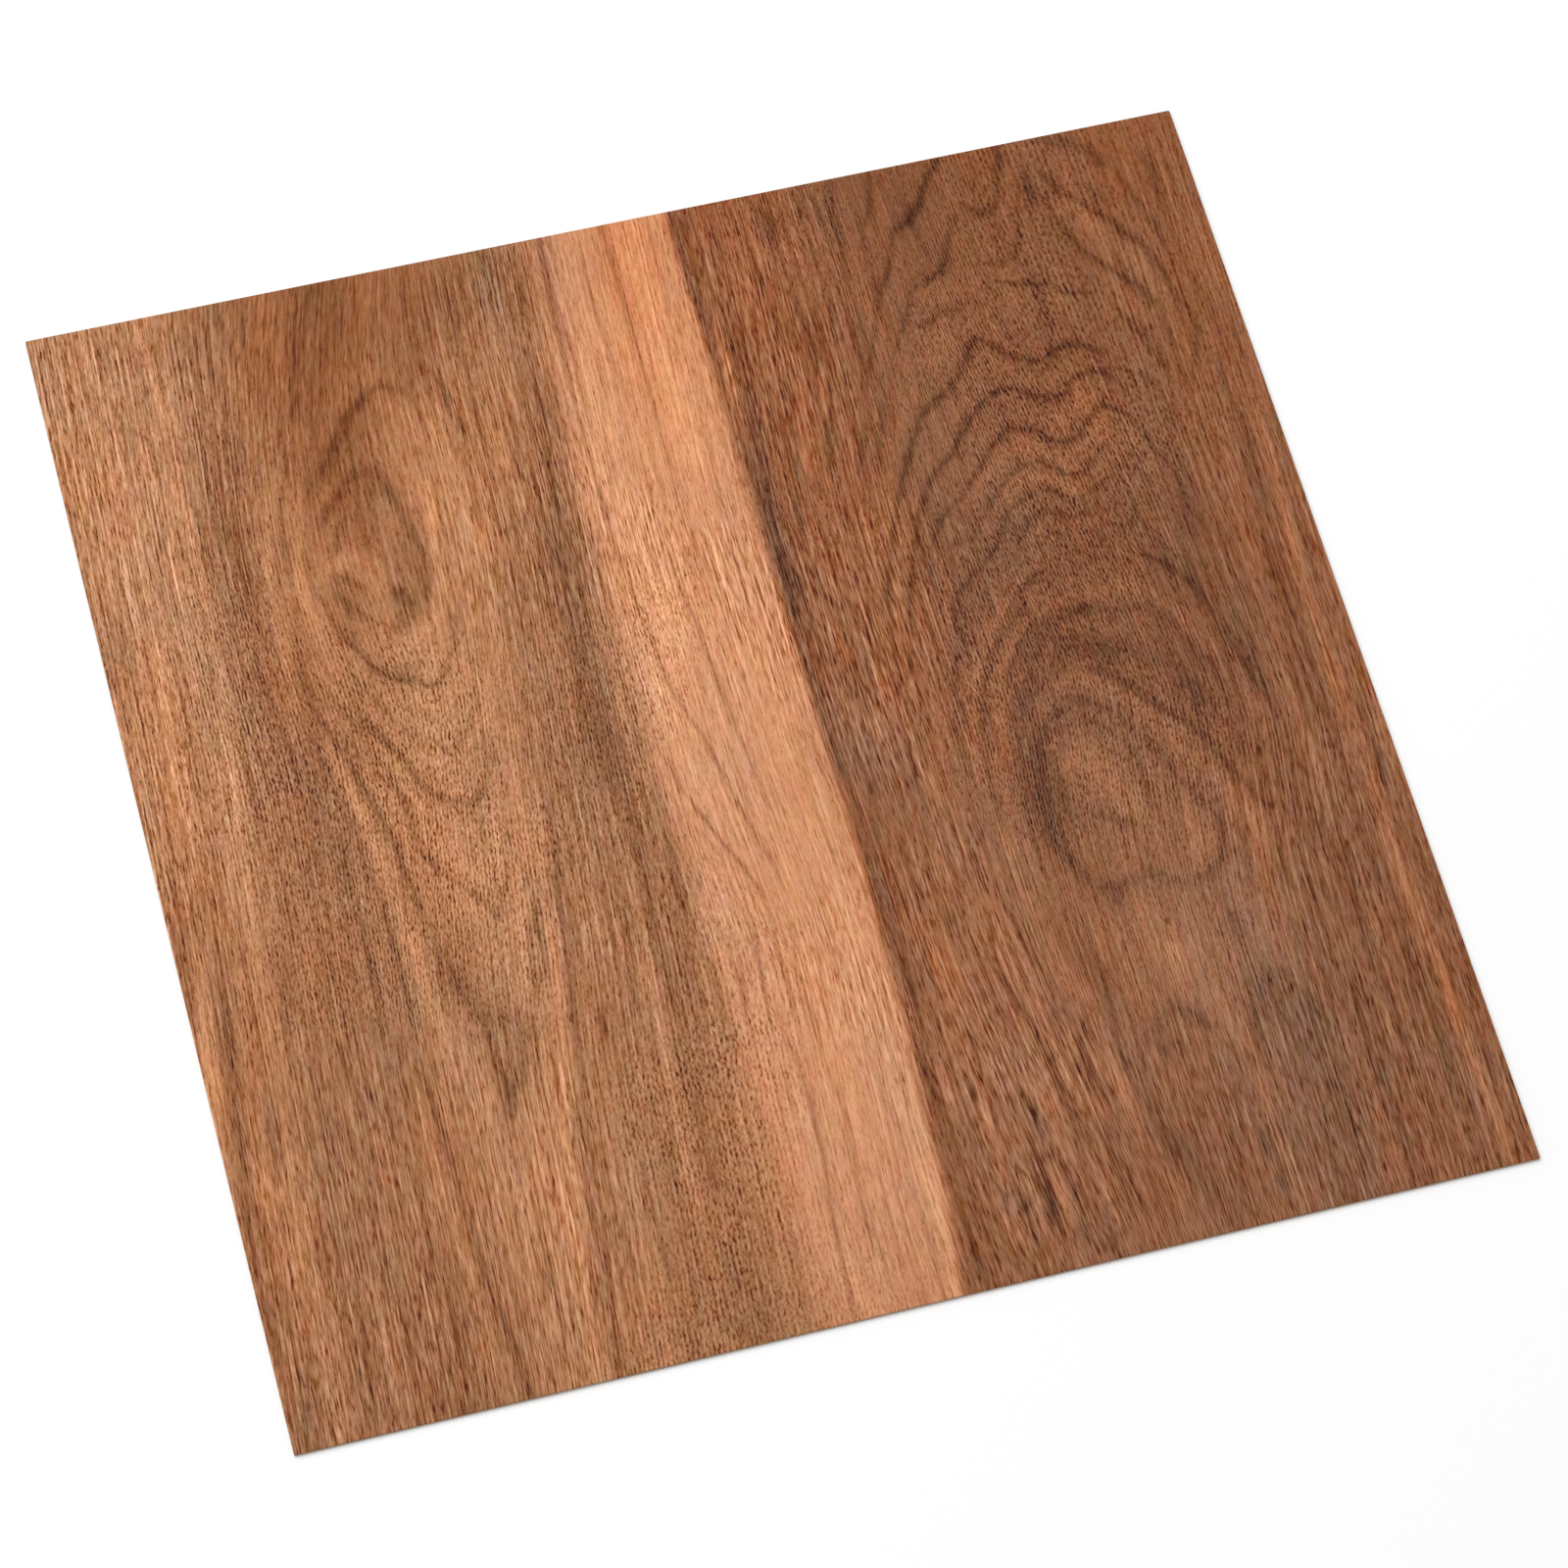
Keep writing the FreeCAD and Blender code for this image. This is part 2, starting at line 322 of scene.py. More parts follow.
# Left board: wide bands of light and dark wood
LEFT_BANDS = [
    # balance of the whole
    [(325, -30, 60, -14), (320, 60, 46, -9), (310, 150, 40, -4)],
    [(500, 0, 46, -3), (492, 130, 46, -9), (440, 220, 40, -5)],
    [(602, -30, 26, -13), (594, 60, 26, -10), (590, 130, 24, -6)],
    [(312, 680, 24, 6), (312, 780, 24, 6), (312, 870, 22, 8), (314, 950, 20, 5)],
    [(404, 590, 26, 9), (404, 660, 20, 2)],
    [(404, 1040, 20, 6), (404, 1140, 24, 9), (404, 1240, 24, 4), (404, 1320, 24, 7), (404, 1400, 20, 2)],
    [(586, 400, 14, -6), (592, 780, 14, -5)],
    # shades of the board as a whole
    [(222, -20, 34, -5), (222, 300, 34, -8), (226, 500, 30, -4), (226, 700, 34, -9), (226, 1000, 34, -6),
     (226, 1300, 34, -8), (226, 1590, 40, -12)],
    [(50, 860, 40, -4), (60, 980, 60, -9), (60, 1100, 60, -6), (60, 1200, 40, -2)],
    [(130, 1130, 50, -5), (130, 1300, 50, -8), (130, 1528, 50, -8)],
    [(600, 440, 24, -3), (600, 700, 24, -5), (600, 1000, 24, -5), (600, 1560, 24, -5)],
    # light wood along the left edge
    [(85, -40, 80, 14), (80, 300, 75, 17), (70, 560, 62, 13), (70, 760, 55, 10), (70, 920, 40, 6),
     (80, 1100, 34, 5), (70, 1300, 34, 3), (60, 1500, 36, -3)],
    [(158, -20, 12, 8), (155, 160, 10, 10), (148, 300, 10, 6)],
    [(60, 120, 9, 5), (62, 300, 9, 8), (62, 500, 10, 7), (58, 700, 8, 5)],
    [(128, 240, 10, 6), (118, 370, 12, 8), (128, 470, 10, 6), (132, 600, 10, 10), (122, 700, 10, 10),
     (110, 800, 12, 12), (104, 900, 12, 10), (92, 1020, 12, 8)],
    [(88, 1080, 10, 5), (80, 1200, 12, 6), (66, 1330, 14, 7), (76, 1450, 12, 5)],
    [(98, -20, 8, -6), (112, 70, 10, -7), (126, 150, 9, -5)],
    [(86, 330, 5, -5), (78, 560, 6, -8), (86, 640, 6, -8), (76, 800, 6, -6)],
    [(22, 440, 14, -6), (18, 480, 14, -12), (6, 530, 12, -8)],
    [(8, 830, 30, -3), (12, 880, 26, -10), (14, 920, 14, -4)],
    [(34, 880, 9, 2), (24, 950, 9, 20), (12, 1030, 9, 22), (4, 1110, 10, 24), (-2, 1200, 12, 12)],
    [(60, 900, 8, -6), (50, 960, 9, -16), (42, 1020, 9, -22), (34, 1090, 8, -18), (26, 1160, 8, -22),
     (16, 1250, 8, -16), (8, 1340, 10, -12), (2, 1400, 14, -16), (0, 1480, 20, -6)],
    [(72, 1080, 6, -6), (64, 1170, 8, -12), (58, 1230, 6, -4)],
    [(30, 1380, 30, -6), (30, 1480, 34, -10), (25, 1580, 36, -14)],
    # brown band and what lies right of it
    [(205, -20, 18, -5), (205, 120, 18, -6), (200, 250, 18, -8), (190, 330, 20, -12), (200, 400, 13, -18),
     (197, 480, 13, -18), (188, 540, 16, -15), (182, 620, 18, -12), (196, 680, 22, -13),
     (205, 760, 26, -11), (190, 860, 34, -9), (180, 960, 40, -7), (175, 1080, 40, -5), (170, 1200, 40, -6),
     (170, 1320, 44, -5), (175, 1450, 40, -9), (175, 1600, 44, -13)],
    [(160, 320, 14, -6), (168, 440, 12, -8), (160, 560, 12, -8), (150, 700, 10, -8), (148, 800, 12, -5)],
    [(228, 240, 8, 3), (225, 330, 8, 6), (226, 430, 9, 6), (226, 520, 8, 8), (222, 600, 8, 4)],
    [(243, 530, 10, -4), (239, 570, 13, -18), (238, 615, 11, -10), (240, 660, 8, -2)],
    [(232, 20, 7, -4), (230, 100, 8, -6), (232, 180, 7, -3)],
    [(278, -20, 18, -12), (282, 80, 16, -14), (275, 170, 14, -12), (255, 230, 10, -4)],
    [(246, 20, 5, 3), (250, 120, 5, 3), (248, 220, 6, 2)],
    # dark wedge above the left knot
    [(405, -60, 52, -26), (385, 50, 46, -26), (362, 130, 40, -24), (340, 200, 34, -18), (325, 250, 26, -14),
     (312, 300, 18, -10)],
    [(368, -20, 6, -6), (350, 60, 6, -8), (331, 120, 6, -10), (317, 165, 6, -10), (305, 200, 5, -4)],
    [(470, -40, 60, -10), (470, 60, 55, -11), (440, 140, 40, -8)],
    [(545, -20, 60, -8), (545, 60, 45, -9), (600, 40, 50, -6)],
    [(570, 20, 16, -8), (562, 42, 16, -8)],
    [(552, 80, 9, -8), (547, 105, 10, -22), (546, 140, 9, -14), (550, 165, 8, -4)],
    [(500, 90, 8, -4), (490, 140, 8, -8), (505, 190, 8, -8), (516, 240, 7, -5), (522, 290, 6, -1)],
    [(455, 90, 12, 5), (452, 150, 14, 3)],
    [(528, 130, 7, 6), (527, 200, 8, 8), (526, 240, 7, 4)],
    [(575, 150, 9, 5), (574, 180, 10, 12), (572, 240, 8, 5)],
    [(600, 130, 8, 10), (597, 180, 8, 8), (590, 240, 8, 2)],
    [(300, 120, 22, -8), (290, 190, 22, -9), (305, 250, 22, -9), (300, 300, 16, -4)],
    [(400, 235, 22, -14), (384, 262, 24, -22), (352, 290, 18, -14)],
    [(350, 350, 34, -16), (378, 375, 32, -16), (400, 420, 22, -6)],
    [(520, 60, 30, -4), (550, 200, 40, -5), (575, 300, 30, -5), (590, 600, 20, -3)],
    [(345, 530, 30, 6), (370, 590, 36, 10), (385, 680, 44, 13), (395, 760, 40, 13), (390, 850, 40, 15),
     (395, 930, 36, 15), (398, 1000, 26, 10), (396, 1040, 20, 4)],
    [(250, 420, 26, 4), (262, 500, 22, 5), (290, 620, 24, 4), (330, 800, 24, 4), (345, 930, 18, 5)],
    # light wood right of the left knot
    [(455, 215, 30, 8), (475, 270, 36, 12), (480, 350, 36, 12), (480, 450, 36, 12), (470, 540, 34, 12),
     (462, 640, 36, 12), (460, 740, 34, 10), (462, 850, 22, 10), (470, 930, 10, 4)],
    [(449, 290, 9, 4), (453, 350, 8, 12), (452, 395, 8, 12), (440, 440, 7, 6), (432, 490, 8, 10),
     (420, 540, 14, 12), (405, 575, 14, 10)],
    [(487, 240, 9, 4), (485, 300, 9, 4), (497, 380, 10, 6), (503, 430, 12, 8)],
    [(476, 230, 5, -6), (474, 265, 5, -8), (472, 290, 4, -3)],
    [(545, 330, 10, -3), (540, 450, 12, -6), (545, 540, 12, -5), (535, 640, 12, -4), (520, 760, 14, -6),
     (520, 860, 14, -6), (515, 960, 10, -3)],
    [(570, 260, 8, 3), (565, 340, 8, 4)],
    # olive band along the sapwood
    [(640, -20, 26, -8), (636, 100, 20, -8), (628, 180, 15, -8), (622, 260, 14, -12), (616, 340, 14, -20),
     (612, 410, 13, -19), (608, 480, 14, -19), (600, 560, 17, -14), (592, 650, 18, -16),
     (588, 740, 20, -18), (592, 830, 16, -20), (598, 900, 12, -16), (592, 990, 14, -14),
     (590, 1060, 14, -13), (580, 1150, 15, -9), (575, 1250, 18, -10), (572, 1350, 20, -9),
     (566, 1450, 22, -10), (572, 1550, 34, -13)],
    [(586, 250, 14, -5), (580, 330, 14, -8), (585, 420, 12, -6), (575, 540, 12, -8), (570, 620, 12, -5),
     (565, 760, 14, -8), (560, 840, 12, -4)],
    [(634, 820, 7, -6), (632, 900, 7, -12), (628, 960, 8, -12), (618, 1020, 9, -4), (612, 1060, 9, -12),
     (612, 1110, 10, -5)],
    [(622, 540, 8, 6), (622, 640, 8, 6), (620, 740, 8, 6), (620, 820, 8, 4)],
    [(577, 890, 6, 4), (572, 960, 7, 10), (568, 1040, 7, 10), (560, 1110, 7, 10), (554, 1190, 7, 8),
     (548, 1270, 7, 8), (545, 1350, 7, 7), (540, 1440, 7, 5)],
    [(556, 980, 7, -6), (556, 1015, 8, -12), (552, 1050, 7, -4)],
    [(625, 1180, 14, 2), (628, 1300, 16, 6), (625, 1420, 18, 6), (622, 1560, 16, 4)],
    [(576, 1330, 9, -4), (574, 1344, 9, -16), (570, 1356, 9, -8)],
    [(562, 1300, 8, -4), (562, 1312, 8, -10), (560, 1326, 7, -4)],
    # lower middle
    [(505, 1020, 22, -4), (500, 1100, 24, -6), (500, 1180, 20, -4)],
    [(493, 1105, 8, -6), (491, 1120, 8, -14), (489, 1136, 7, -8)],
    [(472, 1230, 14, 4), (470, 1320, 14, 5), (462, 1400, 12, 8), (460, 1470, 10, 3)],
    [(526, 1240, 7, -4), (523, 1340, 7, -12), (521, 1430, 7, -12), (520, 1500, 8, -4)],
    [(500, 1500, 20, -3), (500, 1570, 24, -9)],
]

# Left board, lines of the knot and of the rings round it
LEFT_LINES = [
    # outer contour of the knot, over its crown and down its left side
    [(498, 205, 6, -2), (482, 182, 7, -5), (455, 171, 6, -8), (430, 171, 6, -9), (412, 181, 7, -10),
     (396, 195, 9, -18), (380, 215, 11, -23), (366, 240, 12, -21), (350, 262, 14, -17), (332, 282, 16, -14),
     (316, 302, 15, -10), (306, 325, 12, -6)],
    # crescent under the crown
    [(318, 340, 8, -12), (328, 333, 8, -29), (342, 319, 8, -28), (356, 303, 10, -25), (372, 294, 12, -27),
     (390, 294, 12, -28), (402, 306, 9, -24), (409, 324, 8, -26), (414, 340, 7, -10)],
    [(354, 322, 11, -10), (370, 321, 14, -20), (388, 320, 15, -24), (402, 328, 11, -20),
     (410, 344, 8, -11)],
    [(326, 343, 9, -12), (314, 356, 8, -8)],
    [(330, 372, 8, -5), (326, 392, 9, -9)],
    [(387, 345, 7, 5), (383, 380, 8, 9), (377, 412, 8, 11), (363, 432, 8, 9)],
    [(412, 335, 6, -6), (419, 380, 7, -11), (430, 420, 7, -8), (431, 445, 7, -14), (429, 468, 7, -13),
     (424, 488, 6, -5)],
    [(442, 300, 6, 6), (442, 328, 6, 12), (440, 352, 6, 7)],
    [(318, 470, 8, -6), (316, 500, 8, -12), (316, 532, 8, -9)],
    [(335, 515, 7, 7), (337, 540, 7, 13), (340, 560, 7, 6)],
    [(337, 492, 6, 8), (346, 504, 6, 14), (360, 513, 6, 8)],
    [(397, 503, 7, 8), (397, 520, 7, 12), (396, 548, 10, 11), (404, 566, 10, 6)],
    [(362, 580, 8, -7), (384, 586, 8, -10)],
    [(345, 340, 12, -5), (372, 348, 14, -8), (390, 345, 12, -4)],
    [(350, 380, 10, -3), (366, 396, 12, -12), (372, 416, 10, -5)],
    # right side of the knot's core and its tail
    [(418, 352, 6, -8), (424, 375, 6, -14), (427, 400, 6, -14), (426, 430, 8, -12), (422, 460, 10, -12),
     (412, 490, 11, -11), (400, 512, 11, -10), (384, 524, 9, -8)],
    [(402, 420, 16, -6), (404, 460, 16, -8), (398, 495, 13, -8), (384, 518, 10, -5)],
    # the eye
    [(388, 466, 5, -12), (387, 475, 6.5, -48), (389, 485, 7, -34), (394, 493, 7, -18), (388, 503, 8, -12),
     (382, 511, 10, -9)],
    # inner left lines
    [(308, 450, 7, -6), (313, 463, 9, -16), (321, 476, 9, -15), (331, 490, 6, -12), (345, 505, 5, -10),
     (358, 514, 5, -9), (372, 522, 5, -6)],
    [(310, 425, 7, -4), (319, 435, 8, -12), (331, 446, 8, -13), (347, 460, 6, -7)],
    [(330, 355, 6, 4), (318, 372, 7, 6), (312, 395, 8, 6)],
    [(300, 395, 8, 6), (308, 420, 9, 12), (330, 410, 10, 8), (350, 420, 10, 6)],
    [(355, 440, 12, 6), (362, 465, 10, 8), (365, 500, 10, 5)],
    [(352, 545, 12, 4), (372, 560, 16, 8), (395, 545, 14, 12), (410, 520, 10, 10)],
    # outer left contour down to the teardrop's point, and up again
    [(286, 400, 4, -6), (284, 440, 4, -8), (292, 480, 5, -10), (302, 515, 6, -16), (318, 548, 6, -20),
     (336, 577, 6, -22), (352, 592, 7, -24), (374, 602, 7, -22), (400, 614, 7, -18), (416, 602, 7, -12),
     (430, 580, 7, -12), (442, 555, 6, -10), (450, 528, 5, -6)],
    [(268, 400, 5, 4), (263, 440, 6, 14), (270, 480, 6, 12), (280, 520, 6, 8), (292, 560, 6, 6)],
    [(300, 420, 6, 10), (296, 450, 4, 6)],
    [(262, 450, 4, -4), (257, 462, 5, -8), (262, 476, 4, -4)],
    [(250, 470, 4, -4), (247, 520, 5, -8), (250, 545, 5, -6)],
    # pale and dark fibres that bow round the knot's left side
    [(314, 236, 5, 6), (304, 280, 5, 13), (293, 320, 5, 18), (283, 360, 5, 19), (273, 400, 5, 17),
     (273, 450, 6, 15), (280, 480, 6, 8), (286, 505, 5, 4)],
    [(284, 232, 6, 6), (262, 290, 6, 12), (246, 340, 6, 14), (236, 390, 6, 12), (232, 440, 6, 9),
     (231, 500, 5, 11), (228, 545, 5, 9), (224, 590, 5, 5)],
    [(300, 230, 5, -4), (284, 275, 5, -8), (268, 320, 5, -9), (258, 370, 5, -9), (254, 420, 5, -7),
     (256, 470, 5, -4)],
    [(270, 214, 5, -4), (250, 260, 5, -7), (232, 310, 5, -7), (222, 360, 5, -6)],
    # straight lines right of the cathedral, and its pale flanks
    [(503, 660, 6, -3), (497, 700, 6, -7), (494, 760, 6, -9), (496, 800, 6, -10), (493, 860, 6, -11),
     (489, 920, 6, -10)],
    [(452, 690, 5, -5), (453, 711, 6, -11), (452, 732, 5, -5)],
    [(276, 660, 5, -4), (290, 700, 5, -8), (304, 724, 5, -9), (318, 744, 5, -9), (334, 772, 5, -6),
     (350, 800, 5, -4)],
    [(470, 930, 5, 4), (460, 980, 6, 8), (452, 1030, 6, 9), (448, 1080, 6, 10), (440, 1130, 6, 9),
     (434, 1180, 6, 6)],
    [(450, 950, 4, -6), (446, 1000, 5, -8), (438, 1040, 4, -5)],
    [(286, 930, 6, 4), (292, 960, 7, 11), (290, 1000, 7, 12), (292, 1050, 8, 9), (300, 1100, 10, 6),
     (305, 1160, 10, 5), (310, 1220, 10, 4)],
    # the knot's outer ring over its top, and two lines beside the flame above it
    [(304, 310, 6, -3), (318, 292, 7, -6), (338, 266, 7, -7), (356, 238, 7, -7), (372, 212, 7, -7),
     (390, 198, 7, -6), (412, 182, 6, -5), (430, 175, 6, -8), (446, 179, 6, -7), (462, 187, 6, -7),
     (470, 208, 6, -5), (473, 230, 6, -4)],
    [(346, 40, 6, -4), (339, 75, 6, -6), (331, 110, 6, -6), (324, 140, 6, -5)],
    [(490, 147, 6, -3), (505, 176, 6, -5), (515, 200, 6, -6), (521, 245, 6, -5), (524, 275, 6, -3)],
    # nested lines under the knot
    [(345, 620, 6, -2), (360, 640, 6, -6), (382, 655, 6, -4)],
    [(300, 575, 5, -4), (318, 612, 6, -6), (340, 648, 6, -8), (360, 680, 6, -8), (382, 700, 7, -9),
     (402, 708, 7, -9), (420, 692, 6, -7), (440, 664, 6, -7), (450, 642, 5, -4)],
    [(256, 570, 5, -5), (278, 612, 6, -8), (302, 655, 6, -10), (322, 687, 6, -11), (341, 721, 6, -12),
     (353, 746, 7, -14), (373, 770, 8, -16), (392, 783, 8, -17), (407, 785, 8, -15), (422, 777, 7, -13),
     (434, 752, 6, -9), (445, 722, 6, -6)],
    [(234, 650, 5, -4), (242, 700, 5, -6), (251, 775, 5, -7), (257, 830, 5, -6), (262, 866, 5, -8),
     (266, 915, 5, -7), (268, 980, 5, -6), (266, 1060, 5, -5)],
    [(276, 570, 6, -8), (288, 600, 6, -10), (300, 630, 6, -11), (315, 660, 6, -12), (330, 688, 6, -13),
     (342, 708, 6, -6)],
    [(280, 615, 5, -7), (288, 645, 5, -9), (298, 680, 6, -11), (311, 708, 6, -12), (320, 740, 6, -13),
     (325, 775, 6, -13), (328, 805, 6, -12), (332, 835, 6, -10)],
    [(306, 895, 8, -6), (312, 930, 9, -14), (317, 970, 10, -20), (326, 1012, 12, -24), (340, 1050, 14, -20),
     (354, 1095, 14, -11)],
    [(240, 605, 5, -7), (250, 632, 5, -10), (262, 668, 6, -15), (271, 702, 6, -17), (281, 740, 6, -18),
     (291, 776, 6.5, -20), (298, 812, 6.5, -20), (302, 845, 6.5, -20), (306, 885, 6.5, -17),
     (310, 915, 6.5, -12)],
    [(280, 600, 5, 4), (300, 640, 5, 3)],
    [(250, 640, 5, 6), (262, 700, 5, 10), (272, 760, 5, 8)],
    [(284, 700, 4, 4), (298, 740, 5, 6), (308, 790, 5, 7), (315, 840, 5, 4)],
    [(326, 715, 6, 5), (340, 760, 7, 6), (350, 800, 9, 6), (352, 830, 10, 6)],
    [(330, 632, 7, 4), (352, 660, 7, 6), (380, 680, 7, 4)],
    [(380, 730, 10, 3), (398, 752, 11, 7), (412, 740, 8, 4)],
    [(382, 630, 9, 6), (402, 650, 9, 12), (424, 625, 8, 8)],
    [(315, 832, 6, -4), (335, 852, 6, -10), (352, 876, 6, -12), (375, 902, 6, -12), (392, 925, 7, -12),
     (402, 945, 7, -12), (412, 922, 6, -8), (424, 898, 6, -8), (432, 870, 5, -3)],
    [(335, 820, 7, 5), (360, 850, 8, 9), (385, 880, 8, 10), (405, 875, 9, 12), (428, 830, 9, 12),
     (432, 800, 8, 6)],
    [(352, 905, 10, 4), (366, 922, 11, 8), (378, 945, 9, 3)],
    [(462, 780, 8, 5), (464, 810, 9, 8), (455, 860, 9, 8), (440, 900, 8, 10), (428, 945, 9, 6),
     (412, 985, 8, 4)],
    [(452, 925, 5, -4), (443, 955, 6, -10), (430, 1000, 6, -6), (424, 1040, 7, -10), (412, 1075, 7, -4)],
    # light line left of the flame, dark flame and its tip
    [(272, 800, 6, 7), (279, 870, 7, 12), (286, 930, 7, 16), (291, 980, 8, 16), (296, 1040, 10, 12),
     (306, 1100, 14, 10), (314, 1170, 18, 9), (318, 1260, 22, 9), (322, 1360, 20, 8), (318, 1460, 16, 4)],
    [(368, 1070, 20, -10), (382, 1105, 20, -14), (374, 1140, 15, -16), (368, 1165, 12, -12)],
    [(352, 1100, 6, -3), (353, 1140, 7, -8), (360, 1172, 9, -24), (359, 1192, 8, -24), (354, 1212, 6, -8)],
    [(398, 1100, 6, -3), (390, 1140, 7, -7), (378, 1172, 7, -6)],
    [(400, 960, 20, 5), (395, 1020, 16, 6), (398, 1050, 10, 2)],
    # bright line down the flame's right side, and the dark one beyond
    [(470, 930, 7, 6), (462, 980, 7, 16), (453, 1030, 7, 18), (446, 1080, 7, 16), (436, 1130, 9, 14),
     (427, 1180, 9, 18), (414, 1235, 10, 20), (402, 1290, 10, 14), (393, 1345, 10, 20), (387, 1400, 11, 20),
     (380, 1460, 12, 14), (372, 1520, 14, 10), (368, 1580, 14, 8)],
    [(486, 910, 6, -5), (480, 985, 7, -15), (470, 1050, 8, -18), (460, 1105, 7, -12), (452, 1170, 7, -14),
     (441, 1220, 9, -13), (431, 1275, 9, -13), (421, 1335, 9, -14), (414, 1400, 11, -14),
     (408, 1470, 11, -14), (403, 1540, 10, -18), (400, 1590, 10, -16)],
    [(385, 1200, 20, 8), (372, 1250, 26, 12), (362, 1320, 26, 12), (352, 1400, 22, 8), (345, 1480, 18, 5)],
    [(352, 1370, 5, -4), (350, 1400, 6, -12), (347, 1430, 5, -10), (345, 1455, 5, -3)],
    # streaks of the lower left
    [(262, 1130, 8, -6), (265, 1220, 8, -9), (270, 1300, 9, -13), (272, 1370, 9, -11), (278, 1450, 9, -11),
     (286, 1520, 9, -15), (288, 1590, 9, -12)],
    [(252, 1150, 6, 6), (246, 1210, 7, 8), (243, 1265, 8, 14), (245, 1310, 8, 10), (254, 1370, 7, 10),
     (258, 1400, 6, 3)],
    [(100, 1290, 9, -4), (106, 1345, 9, -6), (102, 1430, 10, -7), (96, 1500, 12, -6), (115, 1560, 16, -6)],
    [(135, 1290, 8, 5), (138, 1400, 8, 5), (140, 1500, 8, 6)],
    [(226, 1440, 12, -3), (226, 1462, 13, -12), (222, 1485, 12, -4)],
    [(212, 1530, 10, -4), (214, 1565, 14, -12)],
    [(300, 1440, 6, -2), (304, 1470, 7, -8), (306, 1500, 6, -2)],
    [(232, 790, 7, -4), (230, 850, 7, -7), (234, 930, 7, -6), (229, 1040, 9, -8), (235, 1070, 8, -3)],
    [(215, 1010, 10, 6), (218, 1030, 10, 6)],
    [(186, 966, 9, -5), (185, 975, 9, -7), (182, 990, 8, -3)],
    [(170, 1070, 7, -4), (168, 1090, 7, -8), (166, 1110, 7, -4)],
    [(148, 1220, 9, 6), (150, 1240, 9, 7), (148, 1262, 8, 3)],
]

